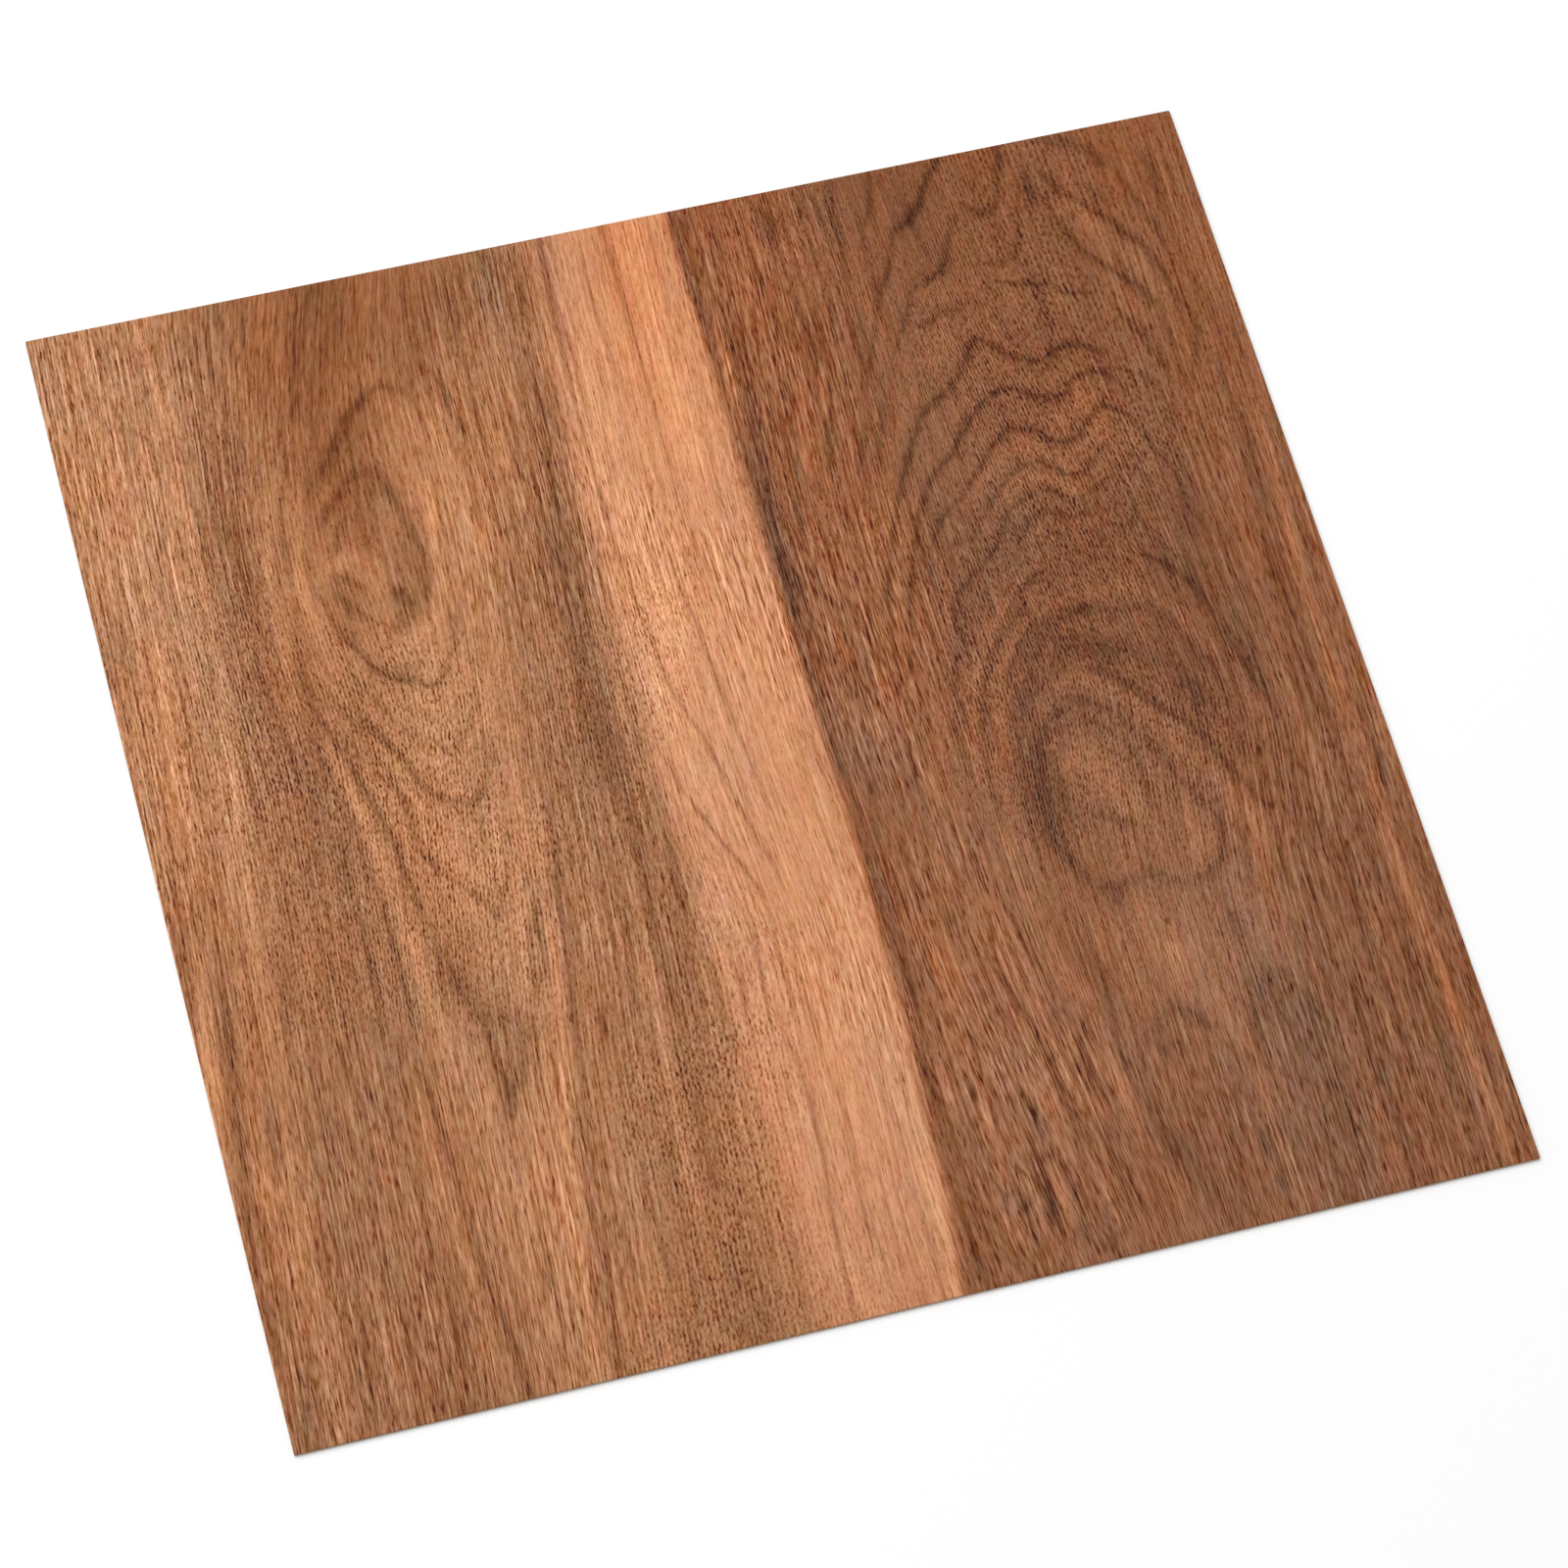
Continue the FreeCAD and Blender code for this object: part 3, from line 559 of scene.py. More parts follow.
# The pale stripe of sapwood
PALE_LINES = [
    [(684, -20, 26, -13), (680, 130, 22, -12), (678, 240, 18, -7), (678, 330, 18, -2)],
    [(768, 1210, 22, 4), (768, 1330, 22, 6), (768, 1400, 20, 2)],
    [(672, 1480, 16, -6), (675, 1560, 20, -12)],
    [(690, 120, 30, 3), (680, 280, 34, 8), (680, 500, 34, 9), (680, 720, 34, 8), (690, 880, 30, 2)],
    [(780, -20, 50, -9), (780, 60, 40, -5), (780, 130, 30, -2)],
    [(784, 430, 30, -3), (784, 520, 30, -7), (784, 600, 26, -3)],
    [(760, -40, 40, 1), (760, 300, 45, 5), (755, 650, 45, 7), (755, 900, 45, 2), (760, 1200, 45, 1),
     (755, 1420, 45, -4), (750, 1600, 45, -10)],
    [(805, -20, 20, 6), (812, 150, 18, 9), (806, 280, 16, 12), (800, 420, 16, 8), (790, 560, 16, 4)],
    [(712, 420, 14, 3), (710, 560, 14, 8), (708, 640, 14, 8), (704, 720, 12, 3)],
    [(662, 380, 12, -4), (660, 560, 12, -4), (664, 760, 12, -4), (668, 900, 12, -2)],
    [(690, -10, 5, -22), (686, 60, 5, -24), (680, 130, 4.5, -18), (676, 200, 4, -16), (674, 330, 4, -14),
     (672, 440, 3.5, -12), (677, 520, 3.5, -13), (682, 590, 3.5, -14), (690, 680, 3.5, -12),
     (703, 735, 3.5, -13), (717, 782, 3.5, -20), (727, 840, 3.2, -18), (736, 885, 3.2, -18),
     (746, 935, 3.5, -20), (754, 972, 4, -12), (758, 1010, 4, -4)],
    [(658, 780, 4, -6), (664, 812, 3.5, -18), (673, 845, 3, -22), (684, 873, 3, -22), (696, 907, 3.2, -24),
     (711, 942, 3.5, -22), (722, 975, 4, -20), (729, 1005, 4, -10), (733, 1050, 4, -3)],
    [(735, 500, 4, -10), (741, 560, 4, -12), (748, 630, 3.5, -14), (752, 700, 3.5, -12),
     (758, 770, 3.5, -10), (764, 825, 3.2, -15), (768, 880, 3, -8)],
    [(776, -20, 4.5, -18), (775, 60, 4, -14), (776, 130, 4, -20), (774, 190, 4, -14), (775, 250, 4, -12),
     (772, 310, 4, -10), (770, 380, 4, -4)],
    [(704, -10, 3, -12), (700, 60, 3, -12), (698, 120, 3, -6)],
    [(740, 20, 3.5, -12), (735, 90, 4, -14), (736, 160, 4, -12), (742, 240, 4, -12), (745, 300, 3.5, -6)],
    [(836, 80, 3.5, -6), (835, 120, 3.5, -12), (832, 160, 3.5, -6)],
    [(815, 140, 3, -4), (813, 180, 3, -14), (812, 230, 3, -8)],
    [(720, 200, 5, -8), (715, 250, 5, -6), (700, 310, 3, -8), (697, 350, 3, -10), (698, 420, 3, -3)],
    [(822, 500, 3.5, -6), (819, 540, 3.5, -12), (817, 600, 3.5, -8)],
    [(798, 540, 4, -4), (804, 600, 4, -7), (805, 640, 4, -2)],
    [(828, 780, 3.5, -5), (826, 880, 3.5, -5), (831, 960, 4, -6)],
    [(843, 620, 4, -8), (845, 760, 4, -8), (846, 900, 4, -6)],
    [(703, 1030, 4, -10), (701, 1090, 4, -12), (695, 1150, 4, -12), (693, 1200, 4, -6)],
    [(729, 1050, 4, -8), (727, 1110, 3.5, -10), (730, 1160, 3.5, -4)],
    [(745, 1090, 3.5, -4), (746, 1180, 3.5, -10), (745, 1250, 3.5, -10), (749, 1310, 4, -10),
     (742, 1400, 4, -6), (739, 1450, 4, -16), (737, 1490, 3.5, -6)],
    [(714, 1210, 3, -6), (712, 1280, 3, -16), (709, 1340, 3.5, -12), (705, 1395, 3.5, -18),
     (700, 1440, 4, -14), (695, 1510, 4.5, -16), (690, 1580, 5, -14)],
    [(672, 1040, 4, -8), (668, 1120, 4, -10), (664, 1200, 4, -4)],
    [(800, 1060, 4, -6), (798, 1140, 4, -8), (800, 1240, 3.5, -8), (804, 1300, 3.5, -3)],
    [(805, 1420, 4, -4), (806, 1500, 4, -12), (802, 1570, 4, -10)],
    [(760, 1440, 14, -3), (770, 1520, 18, -6), (770, 1590, 18, -8)],
    [(818, 780, 14, 3), (824, 1000, 14, 5), (822, 1200, 14, 5), (815, 1400, 14, 3)],
]

# Right board, wide shades
RIGHT_BANDS = [
    [(1050, 470, 24, 4), (1042, 510, 26, 11), (1034, 560, 24, 4)],
    [(1140, 490, 40, 5), (1230, 500, 50, 7), (1320, 480, 50, 8), (1330, 400, 40, 9)],
    [(950, 850, 36, -5), (950, 960, 36, -6)],
    [(1300, 1110, 40, -3), (1310, 1160, 44, -6), (1300, 1220, 40, -4)],
    [(1175, 735, 26, -6), (1215, 740, 30, -8), (1250, 755, 24, -5)],
    [(1300, 1040, 130, 3), (1300, 1200, 140, 5), (1310, 1380, 140, 5), (1300, 1560, 120, 2)],
    [(875, 360, 12, -4), (874, 470, 12, -10), (873, 570, 12, -9), (871, 700, 11, -6), (873, 1000, 12, -6),
     (871, 1250, 11, -5), (861, 1450, 11, -3), (854, 1590, 11, -2)],
    [(960, -60, 70, 1), (950, 200, 75, 3), (950, 420, 75, 3), (950, 640, 75, 6), (950, 800, 80, 7),
     (960, 1000, 90, 8), (980, 1200, 95, 9), (985, 1350, 90, 7), (970, 1500, 80, 3), (960, 1620, 80, 1)],
    [(1200, -40, 120, -6), (1240, 80, 120, -5), (1300, 200, 110, -4), (1330, 400, 110, -5),
     (1330, 600, 120, -6), (1370, 760, 90, -6), (1420, 950, 60, -4), (1440, 1150, 50, -4),
     (1440, 1350, 60, -4), (1440, 1560, 70, -3)],
    [(1120, 560, 60, -3), (1160, 640, 60, -3)],
    [(1210, 1120, 90, 5), (1230, 1190, 95, 7), (1230, 1240, 70, 4)],
    [(1130, 860, 20, -6), (1126, 960, 20, -8), (1140, 1040, 22, -5)],
    [(1180, 780, 40, -4), (1240, 780, 36, -6), (1290, 800, 30, -4)],
    # the dark hem along the sapwood
    [(868, -20, 7, -10), (870, 60, 8, -16), (870, 140, 8, -16), (873, 210, 8, -10), (880, 260, 8, -2)],
    [(905, 170, 8, -4), (903, 240, 9, -10), (898, 310, 9, -12), (892, 380, 10, -14), (885, 450, 10, -15),
     (880, 530, 9, -14), (874, 610, 8, -11), (871, 680, 8, -8), (871, 750, 8, -8), (873, 830, 8, -7),
     (876, 920, 8, -6)],
    [(872, 980, 9, -6), (873, 1030, 10, -8), (875, 1066, 10, -8), (876, 1110, 8, -6), (875, 1165, 9, -7),
     (875, 1220, 8, -7), (864, 1290, 8, -5), (864, 1345, 9, -5), (862, 1410, 9, -5), (860, 1480, 10, -7),
     (852, 1550, 10, -7)],
    [(884, 160, 6, 8), (882, 230, 7, 12), (878, 300, 7, 14), (872, 350, 6, 8)],
    # mottled lighter wood on the left side of the board
    [(935, 60, 14, 3), (934, 130, 13, 9), (932, 190, 12, 7), (950, 260, 14, 3)],
    [(970, 60, 12, 2), (972, 90, 12, 7), (970, 120, 12, 2)],
    [(1030, 60, 10, 2), (1048, 110, 14, 5), (1060, 125, 12, 5)],
    [(960, 290, 10, 2), (968, 330, 11, 6), (955, 400, 12, 6), (948, 430, 12, 5)],
    [(1000, 280, 14, 3), (1004, 300, 14, 5)],
    [(925, 550, 12, 4), (960, 640, 16, 6), (975, 680, 18, 8), (985, 700, 18, 7), (960, 780, 22, 5),
     (935, 800, 16, 6)],
    [(1090, 350, 14, 5), (1076, 390, 14, 9), (1055, 430, 14, 8), (1042, 470, 11, 7), (1020, 560, 10, 4),
     (1006, 630, 9, 7), (992, 690, 9, 7), (985, 760, 9, 4)],
    # left of the lower knot
    [(1000, 850, 22, 5), (980, 910, 16, 10), (1000, 990, 24, 6), (1040, 1000, 14, 5)],
    [(1042, 950, 10, 4), (1048, 1020, 9, 10), (1052, 1090, 9, 10), (1062, 1150, 9, 10), (1070, 1205, 9, 12),
     (1076, 1260, 8, 4)],
    [(1006, 1040, 9, 6), (1004, 1100, 8, 10), (1008, 1160, 8, 9), (1022, 1230, 8, 10), (1036, 1310, 9, 11),
     (1042, 1390, 9, 8), (1046, 1470, 9, 3)],
    [(985, 1250, 8, 3), (992, 1330, 8, 7), (1002, 1400, 9, 9), (1011, 1450, 9, 10), (1014, 1500, 8, 4)],
    [(918, 1080, 12, 4), (920, 1140, 14, 8), (915, 1220, 14, 8), (915, 1320, 12, 8), (918, 1400, 10, 13),
     (914, 1460, 11, 8), (912, 1560, 12, 4)],
    [(880, 1200, 8, 4), (885, 1280, 10, 7), (885, 1380, 10, 5), (888, 1460, 10, 3)],
    [(948, 1120, 10, 3), (945, 1180, 10, 5), (955, 1260, 10, 4)],
    [(1086, 1200, 8, 4), (1092, 1290, 9, 8), (1096, 1370, 9, 8), (1102, 1440, 9, 8), (1116, 1500, 12, 10),
     (1122, 1560, 12, 8)],
    # shades over and beside the lower knot
    [(1120, 640, 40, -4), (1230, 580, 70, -5), (1330, 600, 60, -5), (1390, 660, 45, -6)],
    [(1075, 660, 18, -5), (1074, 690, 18, -10), (1060, 745, 14, -5)],
    [(1290, 605, 20, -5), (1272, 632, 20, -8)],
    [(1418, 520, 12, -4), (1416, 570, 14, -9), (1412, 620, 14, -6)],
    [(1372, 655, 13, -5), (1385, 690, 14, -12), (1392, 730, 13, -8), (1400, 780, 14, -4)],
    [(1176, 716, 10, -6), (1194, 711, 10, -16), (1216, 709, 10, -17), (1234, 703, 11, -19),
     (1252, 710, 9, -14), (1278, 716, 9, -11), (1302, 715, 9, -10), (1318, 725, 9, -11),
     (1336, 743, 8, -11), (1347, 764, 8, -10), (1355, 788, 8, -10), (1368, 815, 8, -9), (1378, 845, 8, -5)],
    [(1195, 745, 20, -10), (1222, 755, 20, -14), (1245, 768, 16, -14), (1275, 775, 14, -8),
     (1300, 790, 12, -6)],
    [(1180, 715, 10, -8), (1158, 745, 12, -8), (1138, 780, 13, -14), (1118, 815, 14, -14),
     (1104, 850, 13, -10), (1094, 900, 12, -8), (1088, 960, 12, -9), (1090, 1010, 12, -7)],
    [(1320, 800, 26, -9), (1345, 840, 28, -12), (1352, 890, 24, -10), (1360, 930, 18, -5)],
    [(1335, 835, 9, -5), (1341, 856, 9, -10), (1345, 880, 8, -3)],
    [(1375, 820, 14, -3), (1385, 850, 16, -5), (1382, 940, 12, -6), (1384, 950, 10, -4)],
    # lighter wood below the knot, ending in a point
    [(1175, 1130, 20, 7), (1200, 1160, 22, 7), (1212, 1200, 30, 9), (1225, 1245, 30, 8),
     (1245, 1290, 20, 8), (1256, 1330, 10, 7), (1258, 1350, 7, 2)],
    [(1208, 1160, 9, 4), (1211, 1185, 10, 9), (1215, 1225, 11, 5)],
    [(1150, 1190, 16, 3), (1148, 1240, 15, 8), (1150, 1262, 12, 4)],
    [(1290, 1140, 22, 3), (1320, 1150, 24, 5), (1330, 1200, 24, 4), (1290, 1220, 20, 5)],
    [(1362, 960, 9, 3), (1352, 1020, 14, 7), (1362, 1070, 14, 9), (1352, 1120, 14, 6), (1350, 1170, 12, 4)],
    # dark flames of the bottom
    [(1145, 1300, 16, -6), (1165, 1280, 12, -10), (1180, 1272, 9, -7)],
    [(1192, 1258, 8, -6), (1200, 1272, 9, -15), (1212, 1288, 9, -14), (1226, 1302, 8, -7)],
    [(1280, 1330, 7, -3), (1292, 1300, 8, -7), (1302, 1272, 9, -10), (1315, 1255, 9, -10),
     (1335, 1255, 10, -6)],
    [(1340, 1290, 40, -7), (1340, 1400, 50, -7), (1330, 1560, 60, -5)],
    [(1348, 1280, 9, -4), (1352, 1302, 10, -9), (1346, 1330, 10, -5)],
    [(1112, 1360, 9, -7), (1118, 1410, 12, -8), (1132, 1440, 15, -13), (1146, 1470, 13, -10),
     (1158, 1510, 12, -9), (1170, 1560, 14, -6)],
    [(1172, 1400, 40, -2), (1180, 1500, 40, -3), (1205, 1550, 20, -5)],
    [(1240, 1430, 10, -4), (1246, 1460, 12, -10), (1240, 1490, 11, -5)],
    [(1318, 1360, 10, -2), (1334, 1350, 10, -5), (1348, 1420, 10, -5), (1335, 1490, 11, -5)],
    [(1258, 1380, 8, 3), (1260, 1440, 8, 6), (1266, 1500, 9, 5), (1268, 1550, 9, 5)],
    [(1390, 1330, 8, 3), (1391, 1360, 9, 6), (1392, 1450, 9, 4), (1392, 1530, 8, 5)],
    # strips along the right edge
    [(1550, 440, 10, 3), (1543, 510, 9, 8), (1536, 580, 9, 13), (1530, 650, 9, 20), (1526, 720, 9, 19),
     (1525, 800, 9, 14), (1526, 870, 9, 18), (1526, 950, 9, 15), (1524, 1040, 9, 13), (1524, 1120, 9, 14),
     (1523, 1200, 9, 14), (1527, 1290, 8, 17), (1528, 1350, 8, 13), (1529, 1430, 8, 16),
     (1530, 1500, 8, 14), (1531, 1590, 8, 12)],
    [(1485, 480, 9, 3), (1480, 580, 9, 8), (1473, 660, 9, 8), (1466, 760, 9, 6), (1462, 830, 9, 8),
     (1460, 910, 9, 8), (1460, 990, 9, 3)],
    [(1518, 450, 9, -5), (1515, 520, 9, -8), (1508, 620, 9, -10), (1499, 700, 10, -6), (1494, 800, 9, -7),
     (1491, 890, 9, -9), (1494, 990, 9, -5), (1499, 1150, 8, -5), (1500, 1260, 9, -7), (1501, 1400, 9, -4)],
    [(1425, 750, 9, -4), (1423, 800, 9, -8), (1421, 850, 9, -9), (1428, 900, 9, -3)],
    [(1436, 1050, 8, -5), (1436, 1068, 8, -16), (1434, 1092, 7, -7)],
    [(1400, 1120, 8, -4), (1395, 1180, 7, -5), (1372, 1210, 7, -6), (1362, 1240, 7, -6)],
    [(1418, 1240, 7, -4), (1416, 1320, 8, -8), (1418, 1400, 8, -8), (1415, 1500, 8, -5),
     (1415, 1580, 8, -4)],
    [(1455, 1170, 7, -4), (1452, 1210, 7, -7), (1448, 1290, 8, -6), (1458, 1360, 7, -3)],
    [(1475, 1180, 7, 3), (1478, 1250, 7, 5), (1486, 1300, 6, 3)],
    [(1545, 950, 8, -3), (1544, 1010, 9, -8), (1545, 1060, 8, -3)],
    [(1545, 1270, 8, -3), (1548, 1300, 8, -6), (1548, 1350, 8, -3)],
    [(1560, 380, 20, 2), (1562, 560, 16, 5), (1560, 900, 12, 5), (1558, 1140, 12, 3)],
    [(1130, 1020, 20, 3), (1122, 1100, 10, 5), (1120, 1160, 10, 8), (1118, 1180, 9, 3)],
]

# Right board, lines of the cathedral and of the lower knot
RIGHT_LINES = [
    # the left flank of the cathedral, where the arcs run down into the straight grain
    [(1064, 526, 6, -8), (1056, 550, 6, -12), (1045, 572, 6, -14), (1038, 596, 6, -14), (1028, 622, 6, -13),
     (1018, 655, 6, -11), (1006, 700, 6, -10), (994, 740, 6, -6)],
    [(1100, 400, 6, -9), (1088, 416, 7, -13), (1076, 438, 8, -17), (1066, 456, 7, -13), (1053, 481, 7, -16),
     (1042, 504, 7, -14), (1034, 526, 7, -16), (1026, 545, 6, -12), (1012, 580, 6, -11),
     (1002, 606, 6, -14), (995, 635, 6, -13), (989, 670, 6, -12), (981, 715, 6, -10), (972, 765, 6, -7)],
    [(1068, 350, 6, -9), (1058, 376, 6, -11), (1046, 410, 6, -8), (1036, 440, 6, -4)],
    [(1030, 384, 6, -7), (1022, 412, 6, -11), (1008, 442, 6, -8)],
    [(1010, 290, 6, -8), (996, 345, 6, -11), (985, 390, 6, -11), (975, 430, 6, -6)],
    [(1078, 660, 7, -5), (1072, 700, 7, -7), (1056, 738, 7, -8), (1044, 775, 7, -7), (1036, 805, 6, -4)],
    # above the arcs
    [(1246, -15, 7, -10), (1238, 8, 7, -12), (1224, 20, 7, -13), (1210, 40, 7, -20), (1200, 60, 8, -18),
     (1186, 76, 9, -16), (1172, 90, 9, -14), (1156, 98, 7, -5)],
    [(1196, 66, 13, -6), (1176, 88, 14, -10)],
    [(1240, 95, 6, -5), (1222, 122, 7, -9), (1208, 156, 8, -14), (1190, 176, 9, -16), (1165, 186, 8, -12),
     (1148, 194, 6, -6), (1136, 222, 6, -9), (1122, 248, 6, -7), (1105, 278, 6, -4)],
    [(1185, 105, 22, -5), (1192, 140, 20, -6)],
    [(1150, 98, 6.5, -9), (1132, 148, 6.5, -13), (1116, 174, 6.5, -14), (1104, 196, 6.5, -13),
     (1094, 222, 6.5, -12), (1084, 245, 6.5, -12), (1066, 290, 6.5, -9), (1050, 325, 6.5, -6)],
    [(1144, 0, 6, -8), (1140, 22, 7, -12), (1131, 52, 7, -12), (1118, 80, 6, -5)],
    [(1086, 0, 7, -8), (1082, 60, 7, -10), (1078, 120, 6, -7), (1070, 170, 6, -3)],
    [(1106, 70, 6, -4), (1108, 120, 6, -8), (1104, 180, 5, -3)],
    [(1000, 40, 12, -6), (985, 45, 12, -6)],
    [(1330, 70, 6, -4), (1322, 110, 6, -8), (1314, 140, 6, -9), (1302, 168, 7, -9), (1282, 180, 8, -9),
     (1262, 178, 7, -6)],
    [(1316, -10, 7, -8), (1323, 16, 8, -14), (1312, 46, 7, -11), (1305, 70, 6, -10), (1297, 90, 6, -10),
     (1284, 99, 7, -11), (1272, 97, 8, -14), (1256, 86, 7, -6)],
    [(1262, 205, 5, -4), (1285, 214, 6, -14), (1310, 220, 6.5, -16), (1332, 228, 6.5, -12),
     (1352, 243, 6, -13), (1378, 250, 6, -7)],
    [(1150, 246, 6, -7), (1166, 243, 7, -10), (1182, 233, 7, -10), (1200, 237, 7, -11), (1216, 226, 6, -5)],
    # lines right of the crown, running down to the right
    [(1390, 5, 10, -10), (1412, 16, 11, -20), (1432, 28, 9, -14), (1450, 52, 10, -20), (1462, 72, 7, -8)],
    [(1362, 40, 7, -8), (1382, 82, 8, -12), (1404, 108, 8, -11), (1430, 138, 8, -13), (1452, 170, 9, -15),
     (1470, 194, 8, -10), (1481, 224, 6, -10), (1488, 252, 6, -10), (1496, 290, 7, -8)],
    [(1470, 80, 6, -6), (1484, 130, 6, -9), (1496, 180, 7, -9), (1500, 240, 6, -4)],
    [(1512, 60, 8, -7), (1515, 100, 9, -9), (1512, 150, 7, -4)],
    [(1350, 80, 9, -7), (1362, 96, 9, -10), (1368, 125, 6, -8), (1374, 150, 6, -11), (1385, 175, 7, -12),
     (1394, 192, 7, -13), (1406, 208, 7, -13), (1420, 226, 7, -13), (1434, 243, 7, -14),
     (1448, 262, 8, -16), (1456, 280, 7, -9)],
    [(1392, 102, 9, 6), (1405, 132, 12, 13), (1418, 158, 11, 13), (1436, 186, 8, 7), (1458, 226, 8, 8),
     (1470, 262, 8, 5)],
    [(1412, 292, 6, -5), (1424, 318, 7, -13), (1434, 345, 7, -8), (1446, 380, 7, -5)],
    [(1500, 300, 9, -5), (1502, 340, 9, -6), (1478, 400, 7, -5), (1470, 430, 7, -4)],
    # the wavy arcs
    [(1098, 398, 7, -8), (1108, 380, 8, -11), (1126, 368, 8, -14), (1142, 357, 8, -13), (1160, 345, 8, -12),
     (1178, 327, 7, -9), (1192, 310, 8, -16), (1203, 294, 8, -16), (1212, 284, 8, -17), (1226, 293, 8, -14),
     (1243, 311, 8, -15), (1258, 324, 8, -14), (1276, 333, 8, -12), (1292, 333, 8, -12),
     (1306, 329, 9, -17), (1318, 321, 9, -22), (1332, 322, 8, -15), (1346, 324, 8, -17),
     (1357, 333, 8, -14), (1376, 347, 7, -9), (1388, 364, 7, -6), (1396, 384, 7, -5), (1402, 410, 6, -3)],
    [(1312, 268, 6, -6), (1316, 292, 7, -12)],
    [(1404, 380, 6, -6), (1418, 396, 6, -12), (1426, 424, 6, -9), (1434, 446, 6, -8), (1432, 478, 6, -8)],
    [(1064, 524, 6, -7), (1080, 502, 7, -12), (1086, 490, 6, -8), (1102, 468, 7, -14), (1113, 458, 6, -10),
     (1126, 451, 7, -15), (1140, 438, 7, -16), (1152, 420, 7, -15), (1165, 407, 7, -15),
     (1180, 392, 7, -15), (1195, 378, 7, -14), (1212, 370, 7, -16), (1230, 365, 7, -14),
     (1241, 368, 7, -12), (1254, 379, 7, -15), (1268, 388, 7, -13), (1280, 394, 7.5, -15),
     (1298, 393, 8, -16), (1306, 388, 7, -12), (1314, 378, 7, -14), (1330, 370, 7, -14),
     (1346, 366, 7, -13), (1361, 372, 7, -12), (1374, 384, 6, -7), (1383, 404, 6, -4)],
    [(1070, 572, 6, -6), (1080, 556, 6, -9), (1090, 538, 6, -10), (1102, 527, 6.5, -12), (1114, 518, 6, -9),
     (1130, 510, 6, -6), (1140, 504, 6, -10), (1147, 490, 6, -13), (1158, 480, 6, -12),
     (1170, 466, 6.5, -14), (1180, 454, 6.5, -13), (1190, 442, 6.5, -13), (1203, 436, 6.5, -14),
     (1214, 427, 6.5, -14), (1230, 428, 6.5, -15), (1246, 434, 6.5, -15), (1258, 445, 6.5, -14),
     (1270, 456, 6.5, -13), (1284, 462, 7, -16), (1296, 458, 6.5, -14), (1306, 455, 6.5, -12),
     (1318, 440, 6.5, -11), (1330, 429, 6.5, -11), (1348, 420, 6.5, -12), (1362, 428, 6.5, -10),
     (1373, 437, 6, -12), (1379, 452, 6, -11), (1387, 476, 6, -8), (1396, 500, 6, -7), (1404, 524, 6, -4)],
    [(1104, 572, 6, -8), (1124, 572, 6, -10), (1134, 560, 6, -7), (1146, 545, 6, -7), (1160, 530, 6, -9),
     (1175, 515, 6, -9), (1190, 498, 6, -9), (1205, 488, 6, -11), (1222, 484, 6.5, -12),
     (1240, 481, 6, -10), (1252, 491, 6, -12), (1264, 504, 6, -11), (1282, 511, 6, -12),
     (1298, 507, 6, -10), (1312, 494, 6.5, -10), (1324, 484, 6, -6), (1336, 476, 6, -5)],
    [(1138, 602, 6.5, -8), (1150, 592, 6.5, -11), (1160, 576, 6.5, -10), (1171, 560, 6, -9),
     (1180, 546, 6, -8), (1196, 535, 6, -7), (1212, 528, 8, -14), (1226, 523, 6, -8), (1242, 524, 6, -9),
     (1254, 533, 7, -12), (1266, 548, 6, -6), (1290, 542, 6, -6), (1304, 536, 6, -7), (1326, 522, 6, -5),
     (1346, 512, 6, -5), (1360, 518, 6, -5), (1374, 540, 6, -4)],
    [(1182, 590, 6, -7), (1194, 575, 6.5, -9), (1208, 560, 6.5, -10), (1228, 554, 7, -9),
     (1250, 568, 6, -6), (1278, 568, 6, -7), (1298, 560, 6, -4)],
    [(1108, 540, 8, 4), (1142, 508, 9, 9), (1164, 486, 8, 8), (1184, 468, 8, 8), (1202, 457, 8, 9),
     (1226, 454, 8, 9), (1248, 466, 8, 9), (1270, 481, 8, 9), (1292, 478, 7, 5), (1318, 458, 7, 4),
     (1340, 444, 7, 3)],
    [(1096, 594, 8, 3), (1118, 576, 8, 8), (1146, 552, 8, 7), (1178, 522, 7, 6), (1204, 506, 7, 8),
     (1230, 502, 7, 8), (1254, 515, 7, 8), (1276, 528, 8, 9), (1292, 524, 6, 3)],
    [(1141, 399, 9, 5), (1168, 374, 9, 5)],
    [(1266, 362, 9, 5), (1286, 368, 9, 7), (1308, 360, 8, 4)],
    [(1258, 416, 9, 6), (1281, 426, 10, 11), (1302, 420, 8, 9), (1324, 406, 8, 6)],
    [(1380, 345, 9, 3), (1398, 372, 9, 6), (1414, 412, 9, 7), (1430, 444, 9, 5)],
    [(1120, 300, 12, 3), (1150, 300, 14, 7), (1168, 296, 14, 8), (1172, 255, 14, 6)],
    [(1150, 200, 10, 5), (1170, 200, 12, 6), (1232, 205, 9, 7), (1242, 205, 8, 5)],
    # fainter arcs above the lower knot
    [(1074, 672, 7, -5), (1080, 650, 7, -7), (1096, 634, 7, -10), (1112, 622, 6, -6), (1126, 612, 6, -4)],
    [(1196, 592, 8, 3), (1224, 572, 8, 7), (1250, 580, 8, 5), (1268, 596, 7, 2)],
    [(1148, 674, 6, -4), (1166, 657, 7, -9), (1186, 643, 7, -10), (1204, 637, 6, -5)],
    [(1162, 680, 6, -6), (1145, 697, 6, -8), (1128, 713, 6, -9), (1106, 736, 6, -9), (1088, 768, 6, -9),
     (1074, 800, 6, -9), (1064, 838, 6, -9), (1056, 880, 6, -8), (1050, 925, 6, -6), (1046, 970, 5, -3)],
